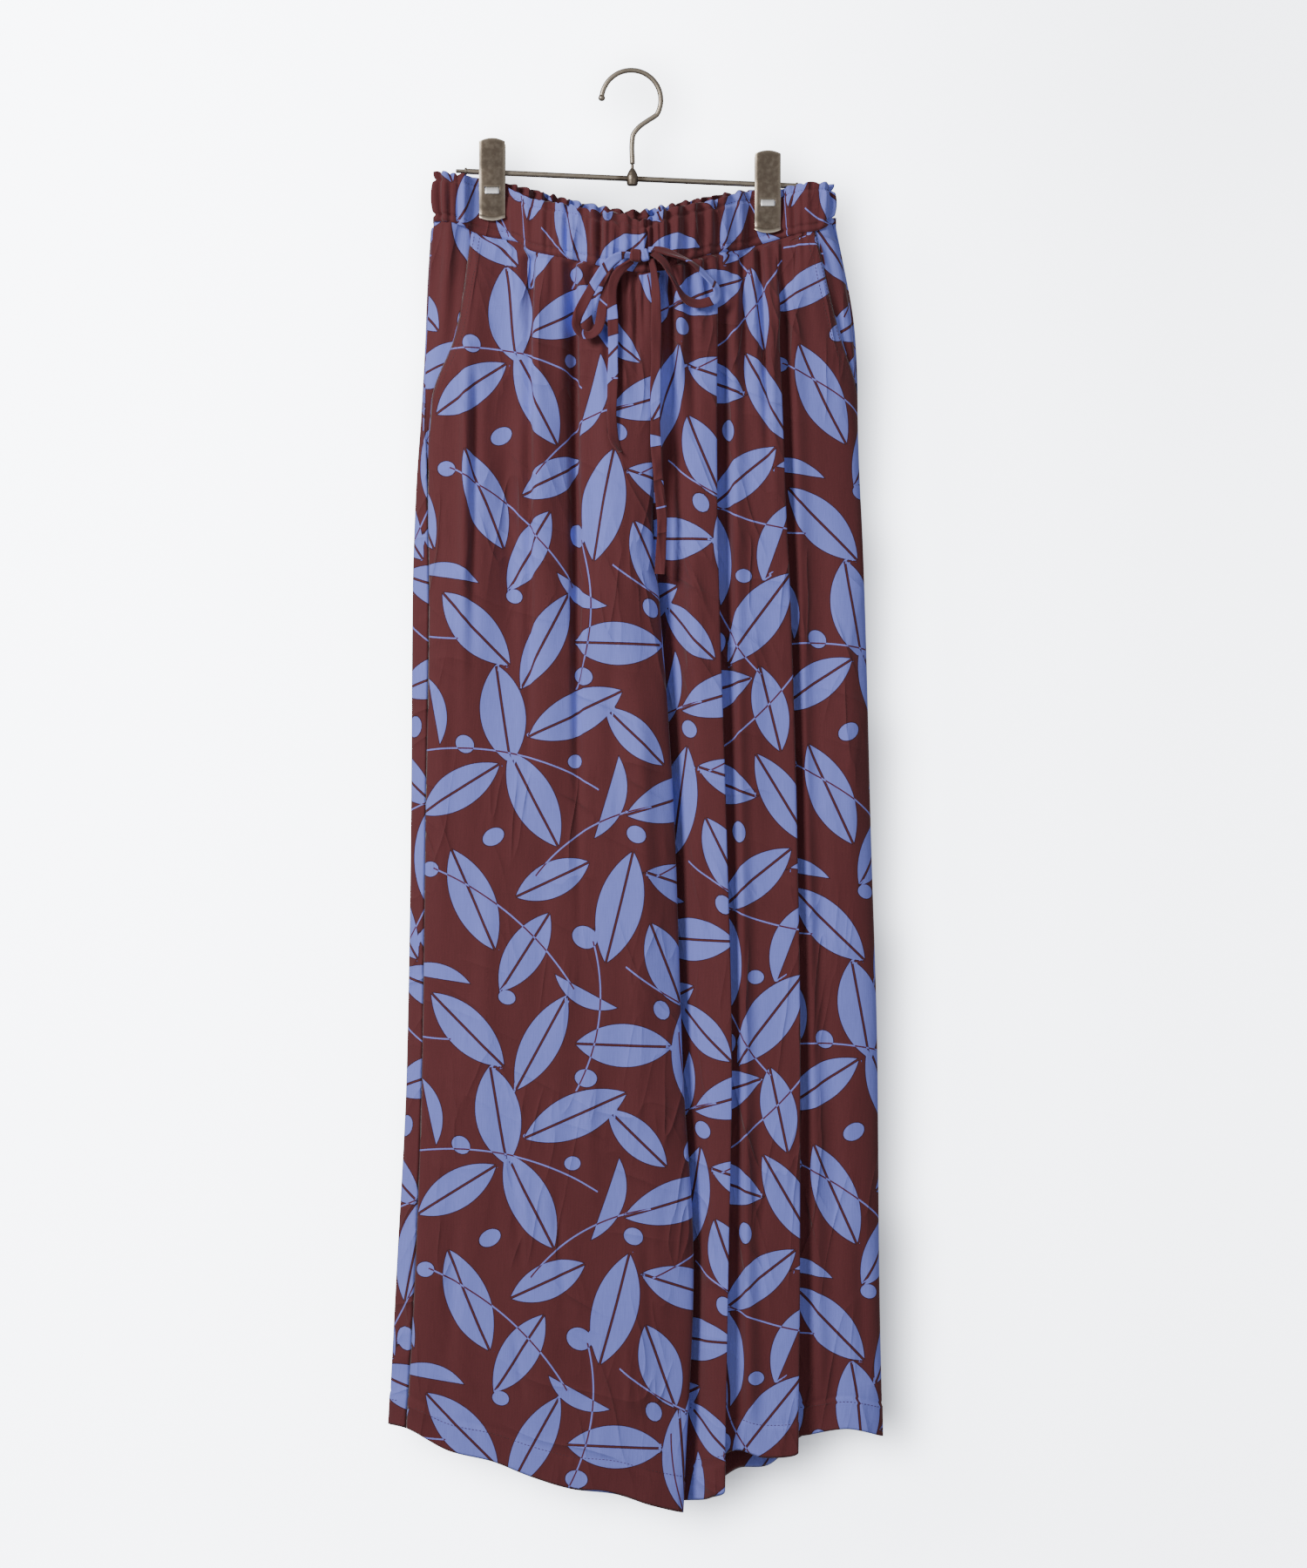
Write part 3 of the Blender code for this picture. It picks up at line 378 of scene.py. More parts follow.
# Clip hanger
HOOK_RADIUS = 23.8
HOOK_WIRE = 3.6
HOOK_TIP_BALL = 5.0
HOOK_CENTRE = (-0.4, -22.0)
HOOK_TIP_ANGLE = 175
HOOK_LEAVE_ANGLE = -30
HOOK_STEM = ((2.8, -47.4), (1.1, -50.2), (0.5, -54.0), (0.5, -73.6))
HUB_X = 0.5
HUB_PROFILE = (
    (0.0, -73.9), (1.2, -73.9), (1.3, -77.0), (2.4, -78.4), (3.6, -80.6), (4.6, -83.4),
    (4.9, -86.0), (4.6, -88.6), (4.3, -90.4), (3.6, -91.0), (0.0, -91.0),
)
BAR_LEFT = (-141.4, -79.1)
BAR_RIGHT = (140.7, -91.7)
BAR_DIAMETER = 4.0
BAR_END_DIAMETER = 2.6
BAR_STOP_DIAMETER = 5.4
BAR_SHOULDER = 9.0
BAR_STOP_WIDTH = 2.0
CLIP_X = (-112.0, 109.2)
CLIP_WIDTH = 20.6
CLIP_SHEET = 1.0
CLIP_ABOVE_BAR = 26.5
CLIP_BELOW_BAR = 39.4
CLIP_END_ARC = 2.6
# Columns: height over the bar, distance of the leaf's middle from the hanger's plane
CLIP_PROFILE = (
    (26.5, 8.2), (20.0, 7.9), (10.0, 6.9), (2.0, 6.0), (-8.0, 5.7), (-18.0, 5.2),
    (-27.0, 4.2), (-33.0, 3.3), (-36.5, 3.2), (-39.4, 4.2),
)
# The window that the spring shows in: width, height, and the height of its middle over the bar
WINDOW_WIDE = 12.0
WINDOW_TALL = 3.6
WINDOW_HEIGHT = -14.2
SPRING_WIDTH = 11.4
SPRING_SHEET = 0.8
# Columns: distance from the hanger's plane, height over the bar
SPRING_PATH = (
    (6.95, -18.0), (6.7, -16.2), (5.9, -14.2), (4.8, -12.4), (4.3, -9.5), (4.2, -3.0),
    (3.6, 0.7), (2.2, 2.45), (0.0, 3.0),
)

# The drawstring of the trousers' own cloth: routes of its free ends and loops from the knot.
# Columns: x, y, z
TAPE_WIDTH = 8.0
TAIL_LEFT = (
    (1.0, -40.4, -156.8), (-3.0, -40.9, -159.6), (-7.4, -41.7, -163.0), (-12.0, -41.9, -168.5),
    (-14.9, -41.7, -176.5),
    (-15.5, -41.4, -187.5), (-14.9, -41.2, -200.0), (-14.5, -41.0, -222.0), (-15.0, -41.0, -255.0),
    (-15.4, -40.6, -284.0), (-13.5, -40.2, -299.0), (-9.0, -40.4, -308.5),
)
TAIL_RIGHT = (
    (15.4, -41.4, -155.3), (17.2, -41.0, -163.0), (18.5, -40.6, -172.0), (19.4, -40.2, -186.0),
    (19.6, -40.0, -205.0), (19.4, -40.2, -235.0), (18.9, -40.2, -265.0), (19.3, -39.6, -300.0),
    (21.5, -38.0, -332.0), (24.3, -36.5, -362.0), (23.5, -35.5, -385.0), (22.4, -34.5, -405.0),
)
LOOP_LEFT = (
    (-1.1, -42.3, -152.6), (-7.0, -44.3, -152.9), (-14.5, -45.0, -156.4), (-20.5, -44.8, -162.4),
    (-26.5, -44.2, -170.6), (-32.5, -43.2, -180.8), (-38.5, -42.0, -191.5), (-42.8, -41.0, -201.0),
    (-43.6, -40.4, -208.6), (-40.0, -40.0, -214.0), (-33.5, -39.8, -215.6), (-27.8, -39.6, -212.0),
    (-24.6, -39.4, -203.5), (-22.8, -39.2, -192.0), (-19.8, -39.1, -180.0), (-14.2, -39.1, -169.6),
    (-9.0, -39.2, -163.8), (-5.0, -39.2, -161.4),
)
LOOP_RIGHT = (
    (13.2, -42.3, -148.0), (20.0, -42.6, -147.8), (27.0, -42.4, -149.4), (35.0, -41.8, -152.2),
    (45.0, -40.2, -156.4), (54.6, -38.0, -163.8), (62.4, -36.4, -171.2), (67.6, -35.6, -178.0),
    (67.6, -35.6, -185.0), (60.0, -36.2, -189.0), (50.0, -37.8, -190.0), (42.4, -40.2, -186.4),
    (36.5, -42.2, -177.8), (31.4, -43.8, -167.4), (26.2, -44.8, -158.6), (16.6, -45.6, -150.2),
)

# %% [markdown]
# ## Curves
# Every surface comes from the tables by two kinds of smooth curve: one that never swings past its
# points, for the lines down the cloth, and a rounder one across it, for its folds.

# %% curves
def cubic(places, values, slopes, at):
    """A cubic on each span, from the values and slopes at its two ends."""
    span = np.clip(np.searchsorted(places, at, side="right") - 1, 0, len(places) - 2)
    shape = (-1,) + (1,) * (values.ndim - 1)
    long = (places[span + 1] - places[span]).reshape(shape)
    t = (at - places[span]).reshape(shape) / long
    return (
        (2 * t**3 - 3 * t**2 + 1) * values[span]
        + (t**3 - 2 * t**2 + t) * long * slopes[span]
        + (3 * t**2 - 2 * t**3) * values[span + 1]
        + (t**3 - t**2) * long * slopes[span + 1]
    )


def rounded(places, values, at):
    """A smooth curve through the values, free to swing a little past them."""
    places, values = np.asarray(places, float), np.asarray(values, float)
    return cubic(places, values, np.gradient(values, places, axis=0), np.asarray(at, float))


def steady(places, values, at):
    """A smooth curve through the values that never swings past them."""
    places, values = np.asarray(places, float), np.asarray(values, float)
    shape = (-1,) + (1,) * (values.ndim - 1)
    rise = np.diff(values, axis=0) / np.diff(places).reshape(shape)
    before, after = rise[:-1], rise[1:]
    same_way = before * after > 0
    total = np.where(same_way, before + after, 1.0)
    inner = np.where(same_way, 2 * before * after / total, 0.0)
    slopes = np.concatenate([rise[:1], inner, rise[-1:]])
    return cubic(places, values, slopes, np.asarray(at, float))


def unit(directions):
    """The directions, each at length 1."""
    return directions / np.maximum(np.linalg.norm(directions, axis=-1, keepdims=True), 1e-9)


def lengths_along(points):
    """Distance along a line of points, starting at 0."""
    return np.concatenate([[0.0], np.cumsum(np.linalg.norm(np.diff(points, axis=0), axis=1))])


def ramp(x, start, end):
    """0 before start, 1 after end, and a smooth rise between."""
    t = np.clip((x - start) / (end - start), 0, 1)
    return t * t * (3 - 2 * t)


def waist_curve(table, count=600):
    """The waist, as evenly parted rows of x, y, seam height and top height."""
    along = lengths_along(table[:, :2])
    return steady(along, table, np.linspace(0, along[-1], count))


def waist_at(table, x):
    """y and the seam's height at each x of the waist."""
    curve = waist_curve(table)
    return np.interp(x, curve[:, 0], curve[:, 1]), np.interp(x, curve[:, 0], curve[:, 2])


def line_levels(waist, xs, ys, heights):
    """The points of one line down the cloth at the waist and at each height."""
    top_y, seam_z = waist_at(waist, xs[0])
    return np.column_stack([xs, (top_y, *ys), (seam_z - SEAM_GAP, *heights)])


def leg_lines(waist, table, rows):
    """The table's lines at the rows, as an array of row, line and coordinate."""
    lines = []
    for _, hem, xs, ys in table:
        points = line_levels(waist, xs, ys, (*LEVEL_Z, hem))
        lines.append(steady(LEVEL_DEPTH, points, rows))
    return np.stack(lines, axis=1)


def inner_line(waist, rise, inseam, rows):
    """The line where a piece ends at the rise above the crotch and at the inseam below it."""
    inseam_x, inseam_y, hem = inseam
    upper = line_levels(waist, rise[0], rise[1], LEVEL_Z[:CROTCH])
    upper[-1, :2] = inseam_x[0], inseam_y[0]
    lower = np.column_stack([inseam_x, inseam_y, (*LEVEL_Z[CROTCH - 1:], hem)])
    above = steady(LEVEL_DEPTH[:CROTCH + 1], upper, rows)
    below = steady(LEVEL_DEPTH[CROTCH:], lower, rows)
    return np.where(rows[:, None] <= LEVEL_DEPTH[CROTCH], above, below)[:, None]


# %% [markdown]
# ## Print
# A scattered leaf print in two colours, charted in one repeat, in millimetres across and down
# the cloth. Each motif is where up to three distances are all above 0: half a leaf is inside a circle
# and on one side of the vein. The distances are kept at the cloth's points, and the material compares
# them, so the motifs' edges stay sharp between points.

# %% print
# The repeat of the print and how far from a motif its own distances are kept
PRINT_REPEAT = (300.0, 320.0)
PRINT_REACH = 4.0
LEAF_SPLIT = 2.2

# Columns: kind, across, down, length, width or bow, turn in degrees
PRINT = (
    ("leaf", 28, 36, 88, 34, 66), ("leaf", 92, 20, 66, 28, 155), ("leaf", 146, 42, 92, 36, 104),
    ("leaf", 204, 26, 78, 32, 18), ("leaf", 262, 40, 84, 30, 60),
    ("leaf", 70, 78, 74, 30, 122), ("upper", 120, 108, 58, 26, 28), ("leaf", 184, 88, 72, 32, 68),
    ("leaf", 236, 104, 80, 30, 142), ("lower", 296, 100, 62, 26, 8),
    ("leaf", 24, 140, 84, 32, 44), ("leaf", 84, 150, 86, 30, 118), ("leaf", 150, 152, 78, 34, 2),
    ("leaf", 206, 164, 86, 34, 82), ("upper", 266, 156, 70, 32, 112),
    ("leaf", 50, 208, 80, 36, 80), ("leaf", 112, 208, 90, 34, 156), ("leaf", 162, 226, 66, 26, 44),
    ("leaf", 246, 216, 92, 36, 128), ("lower", 292, 206, 56, 24, 76),
    ("leaf", 16, 268, 76, 30, 148), ("leaf", 76, 276, 86, 34, 62), ("lower", 136, 274, 70, 32, 108),
    ("leaf", 196, 276, 92, 34, 164), ("leaf", 254, 288, 70, 28, 78),
    ("pebble", 118, 66, 21, 17, 30), ("pebble", 224, 66, 17, 13, 80), ("pebble", 56, 114, 14, 11, 20),
    ("pebble", 180, 124, 16, 12, 60), ("pebble", 120, 178, 18, 14, 10), ("pebble", 236, 182, 14, 11, 0),
    ("pebble", 208, 236, 20, 15, 120), ("pebble", 20, 232, 16, 13, 40), ("pebble", 110, 246, 13, 11, 0),
    ("pebble", 44, 306, 18, 13, 150), ("pebble", 160, 304, 16, 13, 30), ("pebble", 292, 12, 15, 12, 0),
    ("stem", 60, 50, 150, 240, 40), ("stem", 226, 132, 170, -260, 20), ("stem", 130, 130, 120, 160, 96),
    ("stem", 60, 240, 150, 220, 12), ("stem", 210, 206, 130, -180, 66), ("stem", 236, 300, 140, 260, 140),
    ("stem", 120, 300, 110, -140, 150),
)


def motif_fields(kind, along, aside, length, width):
    """Three distances whose least is above 0 inside the motif."""
    far = 0 * along + 99.0
    if kind == "stem":
        off = np.hypot(along, aside - width) - abs(width)
        return 0.6 - off, 0.6 + off, length / 2 - np.abs(along)
    if kind == "pebble":
        return (0.5 - np.hypot(along / length, aside / width)) * width, far, far
    bow = (length**2 + width**2) / (4 * width)
    way = 1 if kind == "upper" else -1
    edge = bow - np.hypot(along, aside + way * (bow - width / 2))
    return edge, way * aside - LEAF_SPLIT / 2, far


def charted():
    """The print's motifs, each leaf as its two halves, with the layer that each is kept in."""
    for number, (kind, *place) in enumerate(PRINT):
        if kind == "leaf":
            yield "a", "upper", place
            yield "b", "lower", place
        elif kind == "stem":
            yield "line", kind, place
        else:
            yield "b" if kind == "lower" else "a", kind, place


def print_layers(across, down):
    """For each point of the cloth, the three distances of the nearest motif of every layer."""
    wide, tall = PRINT_REPEAT
    layers = {name: np.full((*across.shape, 3), -9.0) for name in ("a", "b", "line")}
    for layer, kind, (at_across, at_down, length, width, turn) in charted():
        x = (across - at_across + wide / 2) % wide - wide / 2
        y = (down - at_down + tall / 2) % tall - tall / 2
        cos, sin = math.cos(math.radians(turn)), math.sin(math.radians(turn))
        fields = np.stack(motif_fields(kind, cos * x + sin * y, cos * y - sin * x, length, width), -1)
        least = fields.min(-1, keepdims=True)
        fields = np.where(least > -PRINT_REACH, fields, least)
        here = layers[layer]
        nearer = least[..., 0] > here.min(-1)
        here[nearer] = fields[nearer]
    return layers


# %% [markdown]
# ## Materials
# One printed cloth, its thread, two metals. The cloth's colours, its thicker threads and its weave
# all run with the cloth's own lengths across and down, so they follow every fold.

# %% materials
MAROON = (0.108, 0.0225, 0.026)
BLUE = (0.200, 0.228, 0.700)
DARK_EDGE = (0.045, 0.011, 0.014)
WRONG_SIDE = (0.17, 0.12, 0.17)
CLOTH_ATTRIBUTE = "cloth"
# Columns: how close the crinkles lie, drawn closer across and down, turn in degrees
CRINKLES = ((17, 2.4, 0.4, 7), (13, 2.4, 0.5, -19), (11, 0.6, 2.0, 24))


def math_node(tree, operation, *values):
    """One arithmetic node's output. Its inputs are sockets or plain values."""
    return add_node(tree, "ShaderNodeMath", dict(enumerate(values)), operation=operation).outputs[0]


def least_of(tree, attribute):
    """The least of the three distances kept in an attribute."""
    read = add_node(tree, "ShaderNodeAttribute", attribute_name=attribute)
    split = add_node(tree, "ShaderNodeSeparateXYZ", {0: read.outputs["Vector"]})
    pair = math_node(tree, "MINIMUM", split.outputs[0], split.outputs[1])
    return math_node(tree, "MINIMUM", pair, split.outputs[2])


def step_at(tree, value, start, end):
    """0 below start and 1 above end."""
    inputs = {"Value": value, "From Min": start, "From Max": end}
    return add_node(tree, "ShaderNodeMapRange", inputs).outputs[0]


def mix_color(tree, share, first, second, blend="MIX"):
    """A mix of two colours, each a socket or a plain colour."""
    inputs = {0: share, 6: first, 7: second}
    return add_node(tree, "ShaderNodeMix", inputs, data_type="RGBA", blend_type=blend).outputs[2]


def tilted(tree, height, strength, distance, **under):
    """The surface's direction, tilted by a height in metres."""
    inputs = {"Height": height, "Strength": strength, "Distance": distance, **under}
    return add_node(tree, "ShaderNodeBump", inputs).outputs[0]


def clouds(tree, scale, **detail):
    """Noise in the object's own lengths."""
    place = add_node(tree, "ShaderNodeTexCoord").outputs["Object"]
    return add_node(tree, "ShaderNodeTexNoise", {"Vector": place, "Scale": scale, **detail}).outputs[0]


def streaks(tree, scale, across, down, detail=2.0, turn=0.0):
    """Noise in the cloth's own lengths, in metres, turned and then drawn closer by the two factors."""
    read = add_node(tree, "ShaderNodeAttribute", attribute_name=CLOTH_ATTRIBUTE)
    place = add_node(tree, "ShaderNodeMapping", {
        "Vector": read.outputs["Vector"], "Rotation": (0, 0, math.radians(turn)),
        "Scale": (1 / across, 1 / down, 1)}, vector_type="TEXTURE")
    inputs = {"Vector": place.outputs[0], "Scale": scale, "Detail": detail}
    return add_node(tree, "ShaderNodeTexNoise", inputs).outputs[0]


def crinkles(tree, scale, across, down, turn):
    """Thin uneven lines where a slow noise crosses its middle, in scattered places."""
    slow = streaks(tree, scale, across, down, 1.5, turn)
    away = math_node(tree, "ABSOLUTE", math_node(tree, "SUBTRACT", slow, 0.5))
    nearness = math_node(tree, "SUBTRACT", 1.0, math_node(tree, "MULTIPLY", away, 2.0))
    where = step_at(tree, streaks(tree, 9, 1.0, 1.0, 1.0, 30 + turn), 0.46, 0.64)
    return math_node(tree, "MULTIPLY", math_node(tree, "POWER", nearness, 12.0), where)


def print_color(tree):
    """Blue where one layer of the print is above 0, with a dark edge outside its motifs."""
    motif = math_node(tree, "MAXIMUM", least_of(tree, "print_a"), least_of(tree, "print_b"))
    inside = step_at(tree, motif, -0.12, 0.12)
    on_line = step_at(tree, least_of(tree, "print_line"), -0.08, 0.08)
    both = math_node(tree, "MULTIPLY", inside, on_line)
    blue = math_node(tree, "MULTIPLY_ADD", both, -2.0, math_node(tree, "ADD", inside, on_line))
    edge = math_node(tree, "ABSOLUTE", math_node(tree, "ADD", motif, 0.25))
    return mix_color(tree, blue, mix_color(tree, step_at(tree, edge, 0.55, 0.2), MAROON, DARK_EDGE), BLUE)


def printed_cloth(name):
    """Matt woven cloth, printed blue on dark red, with thicker threads, a weave and crumples."""
    made, tree, shader, _ = tree_of(name)
    slub = streaks(tree, 60, 26, 1.0, 3.0)
    picks = streaks(tree, 60, 1.0, 30, 2.0)
    shade = math_node(tree, "MULTIPLY_ADD", slub, 0.34, 0.77)
    shade = math_node(tree, "MULTIPLY_ADD", picks, 0.12, shade)
    grey = add_node(tree, "ShaderNodeCombineColor", {0: shade, 1: shade, 2: shade}).outputs[0]
    woven = mix_color(tree, 1.0, print_color(tree), grey, "MULTIPLY")
    inner_side = add_node(tree, "ShaderNodeNewGeometry").outputs["Backfacing"]
    color = mix_color(tree, math_node(tree, "MULTIPLY", inner_side, 0.35), woven, WRONG_SIDE)
    crumples = math_node(tree, "MULTIPLY", streaks(tree, 9, 2.6, 0.5, 1.0, 4), 4.0)
    for scale, across, down, turn in CRINKLES:
        crumples = math_node(tree, "ADD", crumples, crinkles(tree, scale, across, down, turn))
    fine = math_node(tree, "MULTIPLY_ADD", streaks(tree, 900, 1.0, 1.0, 1.0), 0.5, slub)
    crumpled = tilted(tree, crumples, 1.0, 0.0015)
    feed(tree, shader, {"Base Color": color, "Normal": tilted(tree, fine, 0.35, 0.0006, Normal=crumpled),
                        "Roughness": 0.82, "Specular IOR Level": 0.25, "Sheen Weight": 0.22,
                        "Sheen Roughness": 0.45})
    return made


def sewing_thread():
    """Dark red thread with its twist."""
    made, tree, shader, _ = tree_of("sewing_thread")
    twist = mix_color(tree, clouds(tree, 900), (0.05, 0.012, 0.016), (0.1, 0.03, 0.034))
    feed(tree, shader, {"Base Color": twist, "Roughness": 0.6})
    return made


def metal(name, dark, bright, share, roughness):
    """Metal mottled between a dark and a bright tone, and bright where its attribute says: real wear at the
    edges, and a painted highlight along the top of the hook.
    """
    made, tree, shader, _ = tree_of(name)
    cloud = clouds(tree, 260, Detail=5)
    wear_and_highlight = add_node(tree, "ShaderNodeAttribute", attribute_name="wear_and_highlight").outputs["Fac"]
    mottle = math_node(tree, "MULTIPLY", step_at(tree, cloud, share - 0.14, share + 0.2), 0.2)
    patchy = math_node(tree, "MULTIPLY", wear_and_highlight, math_node(tree, "MULTIPLY_ADD", cloud, 0.7, 0.65))
    color = mix_color(tree, math_node(tree, "MAXIMUM", mottle, patchy), dark, bright)
    rough = math_node(tree, "MULTIPLY_ADD", clouds(tree, 1900), 0.22, roughness - 0.1)
    feed(tree, shader, {"Base Color": color, "Roughness": rough, "Normal": tilted(tree, cloud, 0.12, 0.0003),
                        "Metallic": 0.92, "Specular Tint": (0.5, 0.47, 0.42)})
    return made


CLOTH = printed_cloth("printed_cloth_woven")
THREAD = sewing_thread()
BRASS = metal("antique_brass_worn", (0.155, 0.122, 0.092), (0.62, 0.54, 0.43), 0.56, 0.4)
STEEL = metal("bright_steel_satin", (0.95, 0.95, 0.96), (1.0, 1.0, 1.0), 0.5, 0.55)
print("materials:", CLOTH.name, THREAD.name, BRASS.name, STEEL.name)

# %% [markdown]
# ## Making a piece
# A piece of cloth is a grid of points, rows down it and columns across it, with the same grid in the
# cloth's own lengths. Its edges are turned under, as sewn edges are.

# %% pieces
CREASE_DEPTH = 2.9   # scales the depth of every crease in the tables
STITCH_PITCH = 2.9
STITCH_LENGTH = 2.1
SIDE_OF = {"front": -1, "back": 1}
WEAVE_APART = 100.0   # how far one piece's weave is from the next one's
PIECES = {}


def set_vectors(mesh, name, values):
    """Keeps one vector for each point."""
    layer = mesh.attributes.new(name, "FLOAT_VECTOR", "POINT")
    layer.data.foreach_set("vector", np.ascontiguousarray(values, float).reshape(-1).astype(np.float32))


def object_of(name, points, faces, material, nodes=()):
    """A smooth mesh object from points in millimetres, in the place of the named solids."""
    mesh = bpy.data.meshes.new(name)
    faces = faces if isinstance(faces, list) else faces.tolist()
    mesh.from_pydata((np.asarray(points).reshape(-1, 3) * MM).tolist(), [], faces)
    mesh.materials.append(material)
    mesh.shade_smooth()
    obj = bpy.data.objects.new(name, mesh)
    bpy.context.scene.collection.objects.link(obj)
    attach(obj, "root")
    if nodes:
        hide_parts(*nodes)
    PIECES[name] = obj
    return obj


def grid_faces(rows, columns, flip, closed=False):
    """The quads of a grid, its last column joined to its first where it is closed."""
    index = np.arange(rows * columns).reshape(rows, columns)
    right = np.roll(index, -1, axis=1)
    if not closed:
        index, right = index[:, :-1], right[:, :-1]
    quads = np.stack([index[:-1], right[:-1], right[1:], index[1:]], axis=-1).reshape(-1, 4)
    return quads[:, ::-1] if flip else quads


def tube_faces(rows, sides, flip):
    """The faces of a tube whose two ends are closed."""
    caps = [list(range(sides))[::-1], list(range((rows - 1) * sides, rows * sides))]
    return grid_faces(rows, sides, flip, closed=True).tolist() + [cap[::-1] if flip else cap for cap in caps]


def printed(name, points, faces, across, down, nodes=(), shift=(0.0, 0.0)):
    """A printed piece: across and down are the cloth's own lengths, shift is where it was cut."""
    obj = object_of(name, points, faces, CLOTH, nodes)
    across, down = np.ravel(across), np.ravel(down)
    for layer, values in print_layers(across + shift[0], down + shift[1]).items():
        set_vectors(obj.data, f"print_{layer}", values)
    apart = np.full(len(across), WEAVE_APART * len(PIECES))
    set_vectors(obj.data, CLOTH_ATTRIBUTE, np.stack([across, down, apart], -1) * MM)
    return obj


def cloth_object(name, grid, across, down, flip, nodes=(), shift=(0.0, 0.0)):
    """A printed piece whose points are a grid."""
    return printed(name, grid, grid_faces(*grid.shape[:2], flip), across, down, nodes, shift)


def outward(grid, side):
    """The direction away from the body at each point. Side is -1 in front and 1 behind."""
    along = np.gradient(grid, axis=1)
    below = np.gradient(grid, axis=0)
    return unit(side * np.cross(along, below))


def turned_under(grid, across, down, side, edge, width, cell, behind=0.8):
    """The grid with one edge folded behind itself, as wide as given."""
    count = max(3, round(width / cell))
    normal = outward(grid, side)
    pick = {"left": np.s_[:, count:0:-1], "right": np.s_[:, -2:-2 - count:-1],
            "bottom": np.s_[-2:-2 - count:-1], "top": np.s_[count:0:-1]}[edge]
    axis = 0 if edge in ("top", "bottom") else 1
    inner = grid[pick] - behind * normal[pick]
    edge_line = {"left": np.s_[:, :1], "right": np.s_[:, -1:], "bottom": np.s_[-1:], "top": np.s_[:1]}[edge]
    over_across = 2 * across[edge_line] - across[pick] if axis else across[pick]
    over_down = down[pick] if axis else 2 * down[edge_line] - down[pick]
    first = edge in ("left", "top")

    def joined(inside, whole):
        return np.concatenate([inside, whole] if first else [whole, inside], axis=axis)

    return joined(inner, grid), joined(over_across, across), joined(over_down, down)


def raised(grid, across, down, height=4.2):
    """The grid with its top carried straight up, as the seam allowance inside the waistband."""
    up = np.linspace(height, 0, 4)[:-1, None]
    top = grid[:1] + up[..., None] * np.array((0.0, 0.0, 1.0))
    return (np.concatenate([top, grid]), np.concatenate([across[:1] + 0 * up, across]),
            np.concatenate([down[:1] - up, down]))


def creased(grid, creases):
    """How far each point stands out for the creases: the sum of each one's depth, times a bell across
    it, times a rise and a fall along it."""
    x, z = grid[..., 0], grid[..., 2]
    out = np.zeros_like(x)
    for top_x, top_z, end_x, end_z, half, depth, fade_in, fade_out in creases:
        share = (z - top_z) / (end_z - top_z)
        middle = top_x + (end_x - top_x) * share
        along = ramp(z, end_z - 1e-6, end_z + fade_out) * (1 - ramp(z, top_z - fade_in, top_z + 1e-6))
        out += CREASE_DEPTH * depth * np.exp(-((x - middle) / half) ** 2) * along
    return out


def columns_at(places, values, at):
    """Each column of the values, read at the given places along them."""
    return np.column_stack([np.interp(at, places, column) for column in values.T])


def stitches(name, line, normal, thick=0.42):
    """A row of stitches along a line: each is a small bar of thread, half sunk in the cloth."""
    at = lengths_along(line)
    start = np.arange(STITCH_PITCH, at[-1] - STITCH_PITCH, STITCH_PITCH)
    ends = [columns_at(at, line, start + share * STITCH_LENGTH) for share in (0, 0.5, 1)]
    out = unit(columns_at(at, normal, start + STITCH_LENGTH / 2))
    side = np.cross(unit(ends[2] - ends[0]), out)
    turn = np.linspace(0, 2 * math.pi, 6, endpoint=False)[:, None]
    ring = np.cos(turn) * side[:, None] + np.sin(turn) * out[:, None]
    rings = [(end + rise * out)[:, None] + thick / 2 * size * ring
             for end, (size, rise) in zip(ends, ((0.45, -0.12), (1.0, 0.1), (0.45, -0.12)))]
    points = np.stack(rings, axis=1)
    faces = np.concatenate([grid_faces(3, 6, False, closed=True) + 18 * k for k in range(len(start))])
    return object_of(name, points, faces, THREAD)


# %% [markdown]
# ## Waistband
# A casing with elastic inside: two rows of stitches hold it, a frill stands above the upper row, and
# gathers of two sizes run up through it, strong at the sides and beside the knot.

# %% waistband
BAND_CELL = 0.85
FRONT_WAVES = 25
BACK_WAVES = 31
CLIP_REACH = 14.3    # how far from a clip's middle the band is pinched flat
LOWER_STITCH = 6.2   # height of the lower stitches over the seam
FRILL = 6.5          # depth of the upper stitches below the top edge
GATHER_PITCH = {-1: 7.4, 1: 9.6}
BAND_OUT = 0.55      # how far the outer face stands out from the waist's line
BAND_IN = 1.3        # how far the inner face lies behind it
BAND_FULLNESS = 1.35
BAND_CUT_DOWN = 400
END_PUFFS = (2.2, 1.3, 0.9)   # how far the casing, the frill and the foot bulge at the band's ends
PUFF_REACH = 8
BAND_FOOT = {}       # for each side, x along the band's foot and how far its folds stand out there

# Columns: x, how strong the small gathers are there, and how strong the large waves are
GATHERS_FRONT = np.array([
    (-158, 1.0, 1.0), (-140, 0.9, 1.0), (-130, 0.45, 0.6), (-98, 0.25, 0.35), (-62, 0.3, 0.4),
    (-50, 0.95, 1.1), (-20, 1.1, 1.2), (-6, 0.7, 0.8), (14, 0.8, 0.9), (32, 0.9, 1.2), (44, 0.4, 0.9),
    (76, 0.3, 0.5), (98, 0.25, 0.4), (124, 0.35, 0.6), (137, 1.0, 1.0), (161, 1.1, 1.0),
])
GATHERS_BACK = np.array([
    (-158, 1.0, 1.0), (-130, 0.9, 1.0), (-96, 0.6, 0.7), (-78, 1.0, 1.1), (0, 1.1, 1.1), (84, 1.0, 1.0),
    (96, 0.6, 0.7), (130, 0.9, 1.0), (161, 1.0, 1.0),
])
# From the seam to the top edge. Columns: share of the band's height, how deep the large waves are there
WAVE_RISE = np.array([(0.0, 0.7), (0.12, 1.3), (0.5, 2.0), (0.86, 1.5), (1.0, 2.9)])


